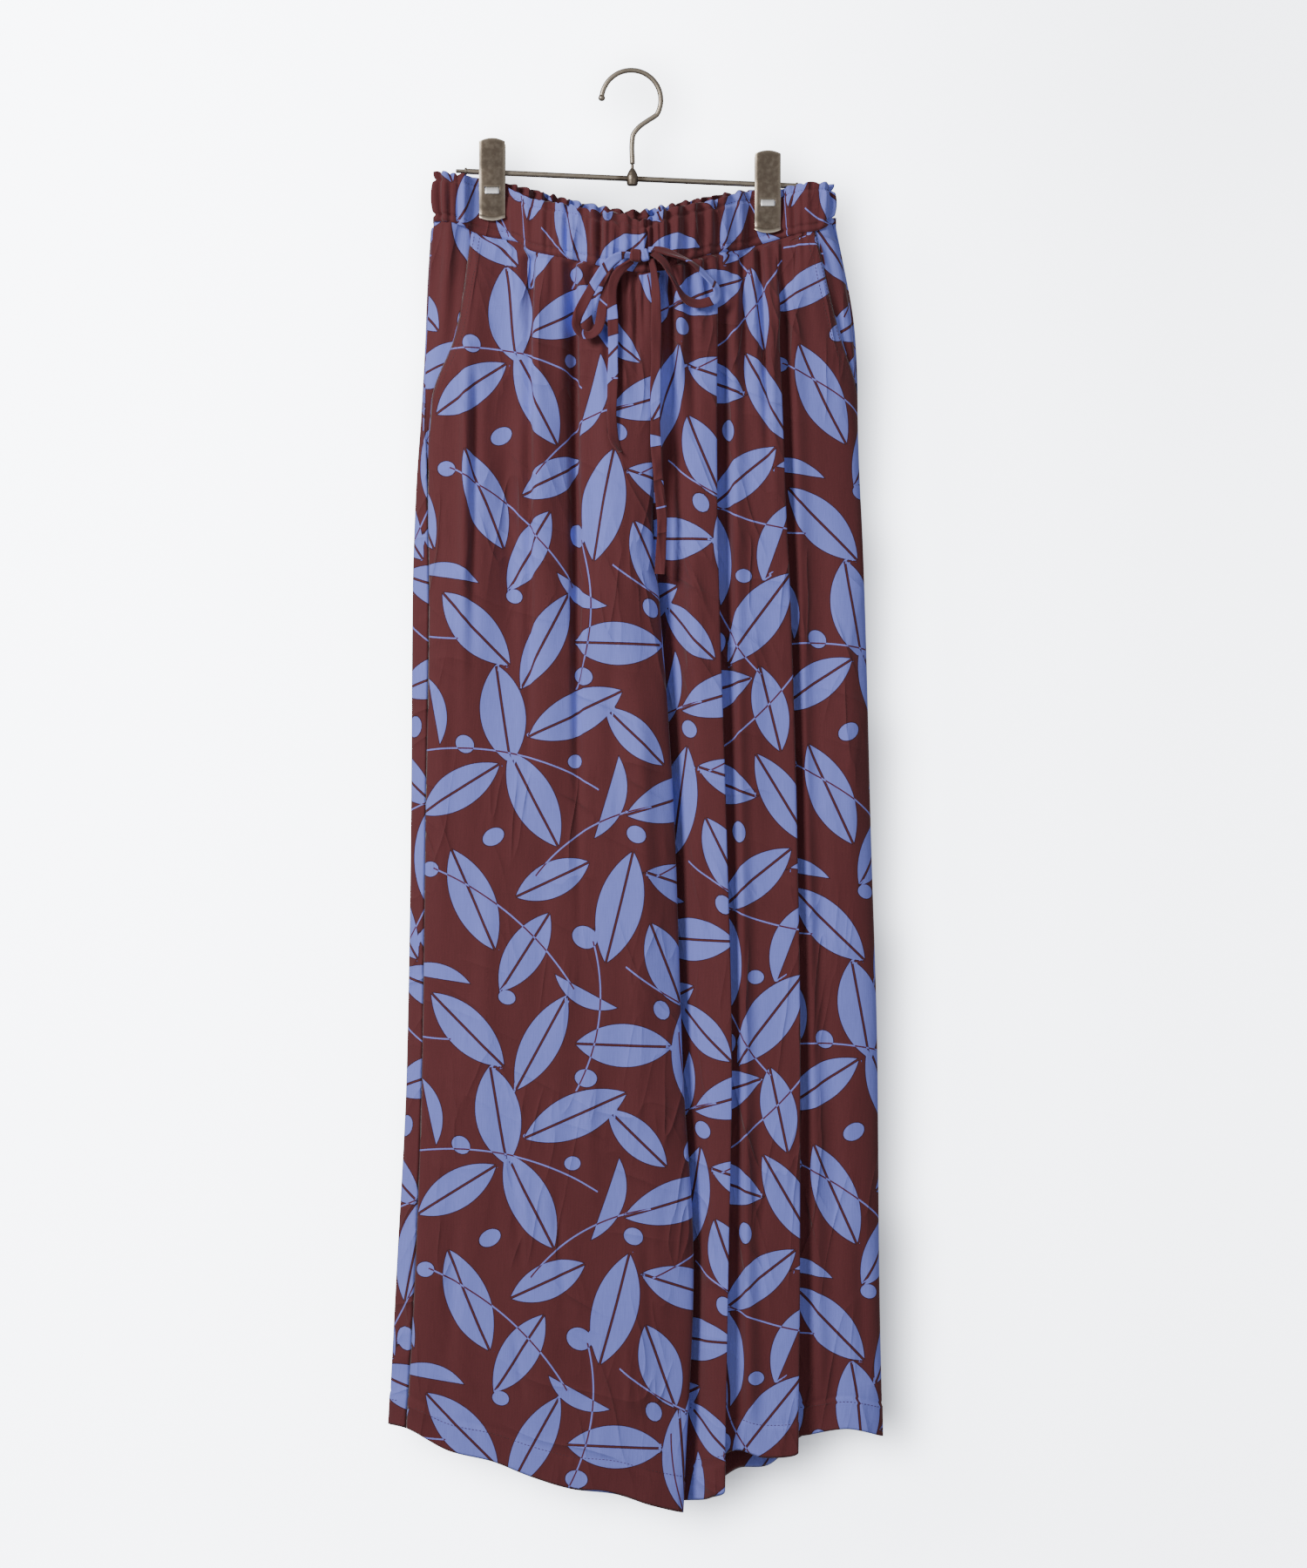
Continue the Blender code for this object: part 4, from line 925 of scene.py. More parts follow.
def near_clips(x):
    """1 where a clip pinches the band flat, falling to 0 beside it."""
    away = np.min([np.abs(x - centre) for centre in CLIP_X], axis=0)
    return 1 / (1 + np.exp((away - CLIP_REACH) / 1.6))


def band_waves(x, share, up, from_ends, waves, gathers):
    """The large waves that run up through the band."""
    phase = 2 * math.pi * waves * share
    uneven = 1 + 0.35 * np.sin(phase / 3.7) * np.cos(phase / 5.3 + 1)
    free = (1 - near_clips(x)) * np.clip(from_ends / 10, 0, 1) * np.interp(x, gathers[:, 0], gathers[:, 2])
    return np.interp(up, WAVE_RISE[:, 0], WAVE_RISE[:, 1]) * free * uneven * np.sin(phase + 0.5 * math.pi)


def band_pleats(at, small, up):
    """The small gathers, some of which start at the seam and some at the top edge."""
    fold = np.cos(small + 1.3 * np.sin(at / 9.7 + 1.1) * up)
    pleat = 1 - 2 * ((1 - fold) / 2) ** 1.8
    from_below = 0.5 + 0.5 * np.sin(at / 7.9 + 0.6 * np.sin(at / 3.1))
    return pleat * np.clip(0.35 + 1.3 * (from_below * (1 - up) + (1 - from_below) * up), 0, 1.2)


def end_puffs(tall, from_seam, from_top, from_ends):
    """How far the band bulges sideways near its two ends, between its rows of stitches."""
    casing = np.clip((from_seam - LOWER_STITCH) / (tall - FRILL - LOWER_STITCH), 0, 1)
    puff = END_PUFFS[0] * np.sin(math.pi * casing) ** 0.7 + END_PUFFS[1] * ramp(from_top, FRILL, 2)
    puff = puff + END_PUFFS[2] * ramp(from_seam, LOWER_STITCH, 3)
    for from_row in (from_seam - LOWER_STITCH, from_top - FRILL):
        puff = puff - np.exp(-(from_row / 1.5) ** 2)
    return puff * np.exp(-(from_ends / PUFF_REACH) ** 2)


def band_grid(table, waves, side, gathers):
    """The band's outer face: large waves, small gathers, and the swell of the elastic between stitches."""
    curve = waist_curve(table)
    along = lengths_along(curve[:, :2])
    share = np.linspace(0, 1, round(along[-1] / BAND_CELL))
    at = 0.75 * SEAM_GAP + (along[-1] - 1.5 * SEAM_GAP) * share
    x, y, seam_z, top_z = columns_at(along, curve, at).T
    from_ends = np.minimum(share, 1 - share) * along[-1]
    pinched = near_clips(x)
    small = 2 * math.pi * (at / GATHER_PITCH[side] + 0.42 * np.sin(at / 15.1) + 0.2 * np.sin(at / 6.3 + 2))
    strength = np.interp(x, gathers[:, 0], gathers[:, 1]) * (1 - 0.85 * pinched)
    strength = strength * np.clip(from_ends / 4, 0.2, 1)
    tall = (top_z - seam_z).mean()
    up = np.linspace(0, 1, round(tall / BAND_CELL / 1.15))[:, None]
    from_seam, from_top = up * tall, (1 - up) * tall
    in_casing = ramp(from_seam, 1.0, LOWER_STITCH + 2) * ramp(from_top, FRILL - 1, FRILL + 3)
    in_frill = ramp(from_top, FRILL, 0)
    out = 1.25 * band_waves(x, share, up, from_ends, waves, gathers)
    out += 1.6 * strength * (0.55 + 0.35 * in_casing + 0.5 * in_frill) * band_pleats(at, small, up)
    BAND_FOOT[side] = x, out[1].copy()
    out += 1.2 * in_casing * (1 - pinched) + 0.9 * np.exp(-((from_seam - 2.2) / 1.8) ** 2)
    out -= 0.6 * np.exp(-(from_seam / 0.9) ** 2)
    for from_row in (from_seam - LOWER_STITCH, from_top - FRILL):
        out -= 0.85 * np.exp(-(from_row / 0.9) ** 2)
    ruffle = 2.6 * strength * (np.abs(np.cos(small / 2)) ** 0.6 - 0.72) * in_frill
    z = seam_z + (top_z - seam_z) * up + ruffle * (1 - pinched)
    grid = np.stack(np.broadcast_arrays(x, y, z), axis=-1)
    normal = -side * unit(np.stack([np.gradient(y, at), -np.gradient(x, at)], axis=-1))
    normal[from_ends < 3, 0] = 0
    grid[..., :2] += (out + BAND_OUT)[..., None] * normal
    grid[..., 0] += np.sign(x) * end_puffs(tall, from_seam, from_top, from_ends)
    return grid, at, from_seam, from_top, normal


def band(name, table, waves, side, gathers, shift):
    """One half of the band: outer face, over the top, and down inside, with its two rows of stitches."""
    grid, at, from_seam, from_top, normal = band_grid(table, waves, side, gathers)
    for label, from_row in (("lower", from_seam - LOWER_STITCH), ("upper", from_top - FRILL)):
        row = int(np.argmin(np.abs(from_row)))
        stitches(f"{name}_{label}_stitches", grid[row], np.column_stack([normal, 0 * at]))
    inside = grid[:-1][::-1].copy()
    inside[..., 1] -= side * BAND_IN
    whole = np.concatenate([grid, inside])
    across, down = np.broadcast_arrays(BAND_FULLNESS * at, BAND_CUT_DOWN - from_seam)
    across = np.concatenate([across, across[:-1]])
    down = np.concatenate([down, 2 * down[-1:] - down[:-1][::-1]])
    cloth_object(f"{name}_cloth", whole, across, down, side > 0, (name,), shift)


band("waistband_front", WAIST_FRONT, FRONT_WAVES, -1, GATHERS_FRONT, (20.0, 30.0))
band("waistband_back", WAIST_BACK, BACK_WAVES, 1, GATHERS_BACK, (140.0, 90.0))
print("waistband:", [len(PIECES[f"waistband_{half}_cloth"].data.polygons) * 2 for half in SIDE_OF])

# %% [markdown]
# ## Legs
# Two front and two back pieces hang from the waistband. The broad folds come from the sections; the
# creases and gathers are placed one by one. Hems are turned up 26 mm and stitched.

# %% legs
LEG_CELL = {"front": 2.0, "back": 2.7}
HEM_TURN = 26.0
SEAM_TURN = 7.0
EDGE_TRIM = -0.4 * SEAM_GAP   # each piece is carried a little way into the gaps at its seams
POCKET_FOOT = {"front_left": -272.0, "front_right": -240.0}
POCKET_ROWS = (2.2, 7.2)      # how far the stitches lie from a pocket's edge
POCKET_THREAD = 0.55
HEM_THREAD = 0.6
SEAM_STRIP = np.array([-3.0, -1.0, 0.6, 2.2])   # places across the strip behind a seam, from its edge
STRIP_BEHIND = 1.1

# Creases, each a soft trough (depth below 0) or ridge. Columns: x and z at its top, x and z at its
# foot, half its width, depth, and over what length it fades in and out
CREASES = {
    "front_left": (
        (-80, -146, -84, -230, 4.5, -1.5, 4, 60), (-66, -149, -70, -205, 3.2, 1.0, 4, 45),
        (-47, -152, -41, -760, 3.4, -2.4, 5, 360), (-39.5, -154, -34, -520, 5.0, 1.3, 5, 220),
        (-83, -147, -82, -640, 3.6, -1.7, 5, 300), (-76, -148, -74, -420, 5.0, 0.9, 5, 180),
        (-57, -150, -56, -330, 5.0, 0.9, 5, 120), (-30, -158, -30, -215, 2.6, -1.4, 3, 40),
        (-21, -160, -19.5, -295, 2.6, -1.8, 3, 90), (-12.5, -162, -9, -300, 2.6, -2.0, 3, 110),
        (-5, -163, -3, -235, 2.4, -1.4, 3, 60), (3, -164, 5, -270, 2.6, -1.7, 3, 80),
        (9.5, -164, 10, -225, 2.2, -1.3, 3, 50), (-17, -161, -14, -260, 2.4, 1.2, 3, 80),
        (-131, -200, -135, -560, 4.6, 1.6, 50, 220), (-124, -230, -128, -520, 4.2, -1.6, 50, 200),
        (-101, -290, -93, -500, 7.0, -1.2, 60, 160), (-88, -250, -84, -450, 7.0, 0.8, 60, 160),
        (-20, -420, -12, -640, 8.0, -1.1, 80, 160), (6, -480, 16, -760, 7.0, 1.1, 80, 200),
        (-70, -560, -74, -820, 9.0, -0.9, 90, 190), (-114, -600, -119, -900, 9.0, 0.9, 90, 220),
        (-100, -840, -84, -985, 4.5, -0.8, 40, 60), (-62, -880, -52, -1010, 4.0, -0.7, 40, 60),
        (-36, -760, -30, -960, 8.0, 0.9, 70, 120), (-96, -1000, -84, -1075, 3.0, -0.6, 25, 30),
        (8, -900, 22, -1060, 5.0, -0.8, 60, 80), (-6, -1010, 2, -1090, 3.6, 0.6, 30, 40),
        (-140, -900, -146, -1060, 6.0, -0.7, 60, 70), (-150, -480, -152, -720, 6.0, 0.6, 60, 120),
    ),
    "front_right": (
        (82, -160, 96, -1110, 6.0, 2.6, 30, 60), (130, -150, 153, -1090, 6.5, 2.2, 30, 60),
        (24, -163, 24.5, -250, 2.4, -1.5, 3, 60), (31, -160, 33, -300, 2.6, -1.7, 3, 90),
        (38, -157, 44, -330, 3.4, 1.7, 3, 110), (46, -154, 52, -330, 3.2, -1.5, 3, 110),
        (54, -152, 56, -240, 2.6, 1.0, 3, 60), (60, -150, 62, -230, 2.4, -1.2, 3, 60),
        (89, -144, 90, -320, 3.0, -1.6, 3, 110), (102, -140, 111, -350, 2.8, -2.0, 3, 90),
        (108, -139, 117, -420, 4.0, 0.8, 3, 140), (97, -141, 100, -290, 4.0, 0.9, 3, 80),
        (81, -146, 82, -220, 2.4, -0.9, 3, 40),
        (128, -131, 131, -215, 3.0, -1.0, 3, 50), (117, -135, 116, -230, 2.6, 0.8, 3, 50),
        (30, -285, 27, -420, 6.0, -1.6, 40, 70), (48, -360, 56, -560, 6.0, 0.9, 60, 120),
        (58, -560, 66, -800, 6.0, -0.9, 80, 160), (96, -400, 102, -700, 7.0, 0.8, 80, 190),
        (150, -330, 160, -620, 8.0, -0.9, 70, 190), (172, -420, 180, -760, 7.0, 0.8, 80, 220),
        (160, -760, 166, -990, 7.0, -0.8, 70, 120), (102, -820, 100, -1040, 6.0, -0.7, 70, 90),
        (62, -900, 60, -1080, 5.0, 0.7, 60, 70), (182, -900, 186, -1060, 5.0, -0.6, 60, 60),
    ),
    "back_left": (
        (-132, -124, -134, -300, 4.0, -1.5, 3, 110), (-116, -127, -118, -260, 3.2, -1.3, 3, 80),
        (-92, -131, -94, -340, 4.0, -1.6, 3, 130), (-82, -133, -80, -250, 3.0, 1.1, 3, 70),
        (-62, -138, -60, -330, 3.6, -1.6, 3, 120), (-50, -141, -47, -260, 2.8, -1.2, 3, 70),
        (-33, -145, -31, -350, 3.6, -1.7, 3, 130), (-20, -147, -17, -270, 2.8, 1.2, 3, 80),
        (-8, -149, -7, -300, 3.0, -1.5, 3, 100), (4, -149, 5, -250, 2.4, -1.2, 3, 60),
        (-100, -420, -106, -760, 9.0, -1.1, 90, 220), (-56, -480, -52, -840, 9.0, 1.0, 90, 220),
        (-20, -560, -14, -900, 8.0, -1.0, 90, 220), (-134, -640, -142, -960, 8.0, 0.9, 90, 180),
        (-88, -880, -82, -1050, 6.0, -0.7, 60, 80), (-150, -430, -152, -640, 6.0, -0.8, 60, 120),
    ),
    "back_right": (
        (34, -145, 35, -300, 3.0, -1.5, 3, 100), (46, -142, 48, -260, 2.8, 1.1, 3, 70),
        (56, -140, 60, -340, 3.6, -1.6, 3, 130), (68, -138, 70, -250, 2.8, -1.2, 3, 70),
        (82, -136, 86, -340, 4.0, -1.6, 3, 130), (100, -134, 102, -250, 3.0, 0.9, 3, 70),
        (124, -131, 128, -310, 3.8, -1.5, 3, 110), (138, -129, 144, -260, 3.0, -1.2, 3, 80),
        (150, -127, 158, -250, 3.0, 0.9, 3, 80), (70, -460, 78, -820, 9.0, 1.0, 90, 220),
        (104, -520, 112, -900, 9.0, -1.1, 90, 220), (146, -430, 156, -780, 8.0, 0.9, 90, 220),
        (60, -820, 66, -1030, 7.0, -0.8, 70, 100), (168, -700, 174, -980, 7.0, -0.8, 80, 150),
    ),
}

# Where each piece was cut from the printed cloth, across and down
PRINT_SHIFT = {
    "front_left": (96.0, 12.0), "front_right": (248.0, 96.0),
    "back_left": (30.0, 180.0), "back_right": (170.0, 60.0),
}
# Columns: waist, lines down the left and the right piece, rise seam
LEG_TABLES = {
    "front": (WAIST_FRONT, FRONT_LEFT, FRONT_RIGHT, RISE_FRONT),
    "back": (WAIST_BACK, BACK_LEFT, BACK_RIGHT, RISE_BACK),
}


def across_folds(before, lines, after, rows, cell):
    """The grid through the lines. The lines before and after them only steer its two edges."""
    everything = np.concatenate([before, *lines, after], axis=1)
    steps = np.linalg.norm(np.diff(everything[rows >= LEVEL_DEPTH[1]], axis=1), axis=2).mean(axis=0)
    places = np.concatenate([[0.0], np.cumsum(steps)])
    start, end = places[1] + EDGE_TRIM, places[-2] - EDGE_TRIM
    columns = np.linspace(start, end, round((end - start) / cell) + 1)
    return rounded(places, everything.transpose(1, 0, 2), columns).transpose(1, 0, 2)


def hung(waist, grid, rows):
    """The grid with its top row along the waist seam, let out over the next 40 mm."""
    top_y, seam_z = waist_at(waist, grid[0, :, 0])
    share = np.clip(1 - rows / 40, 0, 1)[:, None]
    grid[..., 1] += share * (top_y - grid[0, :, 1])
    grid[..., 2] += share * (seam_z - 0.2 * SEAM_GAP - grid[0, :, 2])
    return grid


def leg_grids():
    """The four leg pieces' grids, by name."""
    grids = {}
    for side, other in (("front", "back"), ("back", "front")):
        waist, *tables, rise = LEG_TABLES[side]
        other_waist, *other_tables, _ = LEG_TABLES[other]
        cell = LEG_CELL[side]
        rows = np.linspace(0, LEVEL_DEPTH[-1], round(LEVEL_DEPTH[-1] / cell) + 1)
        left, right = (leg_lines(waist, table, rows) for table in tables)
        other_left, other_right = (leg_lines(other_waist, table, rows) for table in other_tables)
        inner_left = inner_line(waist, rise, INSEAM_LEFT, rows)
        inner_right = inner_line(waist, rise, INSEAM_RIGHT, rows)
        below = ramp(rows, LEVEL_DEPTH[CROTCH] - 30, LEVEL_DEPTH[CROTCH])[:, None, None]
        after_left = (1 - below) * right[:, :1] + below * other_left[:, -1:]
        before_right = (1 - below) * left[:, -1:] + below * other_right[:, :1]
        for leg, before, lines, after in (
            ("left", other_left[:, 1:2], (left, inner_left), after_left),
            ("right", before_right, (inner_right, right), other_right[:, -2:-1]),
        ):
            grids[f"{side}_{leg}"] = hung(waist, across_folds(before, lines, after, rows, cell), rows)
    return grids


def rolled_edges(grid, outs):
    """How far the cloth sinks within 3 mm of its seams, so that each seam lies in a small valley."""
    from_left = lengths_along(grid[len(grid) // 2])
    near = np.minimum(from_left, from_left[-1] - from_left)
    outs -= 0.5 * np.exp(-(near / 2.2) ** 2)[None]
    from_top = lengths_along(grid[:, grid.shape[1] // 2])
    outs -= 0.9 * np.exp(-(from_top / 2.0) ** 2)[:, None]
    return outs


def lengths_across(grid):
    """Distance along each row of a grid, starting at 0."""
    steps = np.linalg.norm(np.diff(grid, axis=1), axis=2)
    return np.concatenate([np.zeros((len(grid), 1)), np.cumsum(steps, axis=1)], axis=1)


def beside_edge(grid, side, inside, name):
    """The line beside the piece's outer edge, from the waist to the pocket's foot, and its outward
    directions."""
    from_edge = lengths_across(grid)
    if name.endswith("right"):
        from_edge = from_edge[:, -1:] - from_edge
    column = np.argmin(np.abs(from_edge - inside), axis=1)
    rows = np.flatnonzero(grid[:, 0, 2] > POCKET_FOOT[name])
    return grid[rows, column[rows]], outward(grid, side)[rows, column[rows]]


def seam_turning(name, grid, side, edge):
    """The strip of turned cloth that lies behind a seam, at the grid's left or right edge."""
    column, inner = (0, 2) if edge == "left" else (-1, -3)
    away = unit(grid[:, column] - grid[:, inner])[:, None]
    behind = (grid - STRIP_BEHIND * outward(grid, side))[:, column, None]
    strip = (behind + away * SEAM_STRIP[:, None])[2:-6]
    across, down = np.broadcast_arrays(SEAM_STRIP, -strip[:, :1, 2])
    return cloth_object(f"seam_turning_{name}", strip, across, down, side < 0)


def leg_piece(name, grid):
    """One leg piece, from its grid: creased, hemmed and turned under at its seams."""
    half, leg = name.split("_")
    side, cell = SIDE_OF[half], LEG_CELL[half]
    from_hem = grid[..., 2] - grid[-1:, :, 2]
    from_top = grid[:1, :, 2] - grid[..., 2]
    outs = rolled_edges(grid, creased(grid, CREASES[name]))
    outs += 0.5 * (1 - ramp(from_hem, HEM_TURN - 1.5, HEM_TURN + 2.0))
    outs -= 0.7 * np.exp(-((from_hem - HEM_TURN) / 1.4) ** 2)
    outs += (0.5 + np.interp(grid[..., 0], *BAND_FOOT[side])) * (1 - ramp(from_top, 2, 42))
    grid = grid + outs[..., None] * outward(grid, side)
    across = lengths_across(grid)
    across -= across[:, across.shape[1] // 2, None]
    hem_row = np.argmin(np.abs(from_hem - HEM_TURN).mean(axis=1))
    hem_out = outward(grid, side)[hem_row]
    stitches(f"hem_stitches_{name}", grid[hem_row][2:-2], hem_out[2:-2], thick=HEM_THREAD)
    if name in POCKET_FOOT:
        for row, inside in enumerate(POCKET_ROWS):
            line = beside_edge(grid, side, inside, name)
            stitches(f"pocket_stitches_{name}_{row}", *line, thick=POCKET_THREAD)
        seam_turning(name, grid, side, leg)
    parts = raised(*turned_under(grid, across, -grid[..., 2], side, "bottom", HEM_TURN, cell, behind=1.0))
    for edge in ("left", "right"):
        parts = turned_under(*parts, side, edge, SEAM_TURN, cell)
    node = f"{half}_leg_{leg}"
    return cloth_object(f"{node}_cloth", *parts, side < 0, (node,), PRINT_SHIFT[name])


for leg_name, leg_grid in leg_grids().items():
    made = leg_piece(leg_name, leg_grid)
    print(made.name, len(made.data.polygons) * 2, "triangles")

# %% [markdown]
# ## Pocket facings
# Between the slanted opening and the side seam the cloth behind shows. The opening has two rows of
# stitches beside its edge.

# %% pockets
FACING_CELL = 1.6


def pocket_facing(name, heights, table, shift):
    """The side piece seen in a pocket opening, a little behind the front's edge."""
    lines = []
    for line, xs, ys in table:
        points = line_levels(WAIST_FRONT, xs, ys, heights)
        if line in ("hidden_edge", "opening"):
            points[0, 1] += FACING_BEHIND
        lines.append(points)
    coarse = np.stack(lines, axis=1)
    depth = lengths_along(coarse[:, 1])
    rows = np.linspace(0, depth[-1], round(depth[-1] / FACING_CELL))
    fine = steady(depth, coarse, rows)
    places = lengths_along(coarse[2])
    columns = np.linspace(-0.5 * SEAM_GAP, places[-1] + 1.5 * SEAM_GAP, round(places[-1] / FACING_CELL))
    grid = rounded(places, fine.transpose(1, 0, 2), columns).transpose(1, 0, 2)
    across = np.broadcast_to(columns, grid.shape[:2])
    if grid[0, -1, 0] < grid[0, 0, 0]:
        grid, across = grid[:, ::-1], -across[:, ::-1]
    down = -grid[..., 2]
    below = down - down[0, 0]
    edge = grid[:, -1:, 0] if grid[0, -1, 0] > 0 else grid[:, :1, 0]
    fold = 1.3 * np.cos((grid[..., 0] - edge) / 2.3 + 0.6) * ramp(below, 0, 8) * (1 - ramp(below, 40, 120))
    grid = grid + fold[..., None] * outward(grid, -1)
    seam_turning(name, grid, -1, name.split("_")[-1])
    return cloth_object(f"{name}_cloth", *raised(grid, across, down), True, (name,), shift)


pocket_facing("pocket_facing_left", FACING_LEFT_Z, FACING_LEFT, (210.0, 40.0))
pocket_facing("pocket_facing_right", FACING_RIGHT_Z, FACING_RIGHT, (60.0, 140.0))
print("pocket facings")

# %% [markdown]
# ## Drawstring
# A flat tape of the same cloth comes out beside the front seam, ties in a bow and hangs in two ends.

# %% drawstring
# Columns: route, turns (share of the tape's length and how far it is turned about its own line there,
# in degrees), where it was cut from the printed cloth
TAPES = {
    "drawstring_tail_left": (
        TAIL_LEFT, ((0, 35), (0.12, 20), (0.25, 5), (0.7, -8), (0.88, 20), (1, 58)), (10, 48)),
    "drawstring_tail_right": (
        TAIL_RIGHT, ((0, -50), (0.1, -32), (0.2, 8), (0.5, -6), (0.8, 10), (1, -15)), (280, 268)),
    "drawstring_loop_left": (
        LOOP_LEFT, ((0, 25), (0.12, 8), (0.38, -10), (0.52, 34), (0.7, 16), (1, 25)), (122, 180)),
    "drawstring_loop_right": (
        LOOP_RIGHT, ((0, 30), (0.25, 60), (0.46, 40), (0.62, -20), (0.75, -58), (1, -35)), (208, 286)),
}
TAPE_CELL = 1.1
TAPE_EDGE_POINTS = 20


def ribbon(route, turns):
    """A soft tape along a route: a flattened round section with a crease down its middle."""
    route = np.asarray(route, float)
    at = lengths_along(route)
    along = np.linspace(0, at[-1], round(at[-1] / TAPE_CELL))
    middle = rounded(at, route, along)
    ahead = unit(np.gradient(middle, along, axis=0))
    sideways = unit(np.cross(ahead, (0.0, -1.0, 0.0)))
    face = np.cross(sideways, ahead)
    share, degrees = np.array(turns, float).T
    turn = np.radians(steady(share, degrees, along / at[-1]))[:, None]
    wide = np.cos(turn) * sideways + np.sin(turn) * face
    thick = np.cos(turn) * face - np.sin(turn) * sideways
    angle = np.linspace(0, 2 * math.pi, TAPE_EDGE_POINTS, endpoint=False)
    cos, sin = np.cos(angle), np.sin(angle)
    across = TAPE_WIDTH / 2 * np.sign(cos) * np.abs(cos) ** 0.8
    pulled = np.exp(-(along / 12) ** 2)[:, None]
    pinch = 1 - 0.3 * pulled + 0.06 * np.sin(along / 7.3)[:, None]
    bulge = TAPE_CLOTH / 2 * np.sign(sin) * np.abs(sin) ** 0.6 * (1 - 0.35 * np.exp(-(across / 1.1) ** 2))
    ripple = 0.35 * np.sin(along[:, None] / 5.1 + across / 2.7) + 0.45 * pulled * np.cos(across * 2.3)
    points = (middle[:, None] + (pinch * across)[..., None] * wide[:, None]
              + (bulge + ripple)[..., None] * thick[:, None])
    rows, columns = points.shape[:2]
    caps = [list(range(columns))[::-1], list(range((rows - 1) * columns, rows * columns))]
    return points, grid_faces(rows, columns, True, closed=True).tolist() + caps, middle, across, along


def tape(name, route, turns, shift):
    """One printed tape, in the place of its solid, with its middle line and its length."""
    points, faces, middle, across, along = ribbon(route, turns)
    across, down = np.broadcast_arrays(across, along[:, None])
    return printed(f"{name}_tape", points, faces, across, down, (name,), shift), middle, along[-1]


# The two parts of the knot, a turn of tape drawn round the others and its folded end.
# Columns: middle, size, lean in degrees, where its print was cut
KNOT_PARTS = (
    ((3.6, -41.6, -152.6), (10.0, 7.8, 10.2), 4, (0.0, 34.0)),
    ((10.4, -41.5, -152.2), (7.2, 6.6, 10.0), -12, (60.0, 210.0)),
)


def knot():
    """The pulled knot: two boxy rounded lumps with creases down them."""
    around, up = np.meshgrid(np.linspace(0, 2 * math.pi, 56, endpoint=False), np.linspace(-1.5, 1.5, 26))
    boxy = [np.sign(v) * np.abs(v) ** 0.55 for v in (np.cos(around), np.sin(around), np.cos(up), np.sin(up))]
    shape = np.stack([boxy[2] * boxy[0], boxy[2] * boxy[1], boxy[3]], -1)
    points, faces, across, down = [], [], [], []
    for number, (middle, size, lean, shift) in enumerate(KNOT_PARTS):
        part = shape * np.array(size) / 2
        part[..., 1] *= 1 + 0.07 * np.cos(part[..., 0] * 2.1 + 0.25 * part[..., 2] + number)
        part = part @ np.array(Matrix.Rotation(math.radians(lean), 3, "Y")).T
        faces += [[number * around.size + k for k in face] for face in tube_faces(*around.shape, False)]
        across.append(part[..., 0] + shift[0])
        down.append(shift[1] - part[..., 2])
        points.append(part + middle)
    return printed("drawstring_knot_tied", points, faces, across, down, ("drawstring_knot",))


knot()
for tape_name, (route, turns, shift) in TAPES.items():
    piece, middle, length = tape(tape_name, route, turns, shift)
    print(piece.name, round(length), "mm")

# %% [markdown]
# ## Hanger
# Round wire bent to a hook, a turned hub that the bar passes through, and two clips of folded sheet
# metal. Their edges are rubbed bright, and the top of the hook's wire has a painted highlight.

# %% hanger
WIRE_FINISH = 0.3   # plating and its glints on the wires
WIRE_SIDES = 28
HOOK_STEPS = 90
SPRING_STEPS = 80


def set_wear_and_highlight(obj, values):
    """Keeps how bright each point is: real wear, and the painted highlight on the hook."""
    layer = obj.data.attributes.new("wear_and_highlight", "FLOAT", "POINT")
    layer.data.foreach_set("value", np.ascontiguousarray(np.ravel(values), np.float32))


def swept(path, radii):
    """A round bar along a path in the hanger's plane, with a radius at each point and closed ends."""
    first = np.array((0.0, 1.0, 0.0))
    second = np.cross(unit(np.gradient(path, axis=0)), first)[:, None]
    turn = np.linspace(0, 2 * math.pi, WIRE_SIDES, endpoint=False)[:, None]
    points = path[:, None] + radii[:, None, None] * (np.cos(turn) * first + np.sin(turn) * second)
    return points, tube_faces(len(path), WIRE_SIDES, False)


def hook():
    """The hook: an arc over the rail, an S down to the hub, and a ball at the tip."""
    angles = np.radians(np.linspace(HOOK_TIP_ANGLE, HOOK_LEAVE_ANGLE, HOOK_STEPS))
    arc = np.column_stack([HOOK_CENTRE[0] + HOOK_RADIUS * np.cos(angles), 0 * angles,
                           HOOK_CENTRE[1] + HOOK_RADIUS * np.sin(angles)])
    stem = np.array([(arc[-1, 0], 0, arc[-1, 2]), *((x, 0, z) for x, z in HOOK_STEM)])
    stem_at = lengths_along(stem)
    stem = rounded(stem_at, stem, np.linspace(0, stem_at[-1], 40))[1:]
    drop = HOOK_TIP_BALL / 2
    share = np.linspace(-0.98, 0.72, 12)
    ball_path = arc[0] + np.column_stack([0 * share, 0 * share, drop * share - 0.6])
    ball_radii = drop * np.sqrt(1 - share**2)
    path = np.concatenate([ball_path, arc[1:], stem])
    radii = np.concatenate([ball_radii, np.full(len(arc) - 1 + len(stem), HOOK_WIRE / 2)]) + WIRE_FINISH
    points, faces = swept(path, radii)
    obj = object_of("hanger_hook_wire", points, faces, BRASS, ("hanger_hook",))
    # Painted highlight: the upper side of the hook's wire is painted brighter, over an even brightness of
    # 0.42.
    facing = points[..., 2] - path[:, None, 2]
    set_wear_and_highlight(obj, 0.42 + 0.4 * ramp(facing / (HOOK_WIRE / 2), 0.2, 1.0))
    return obj


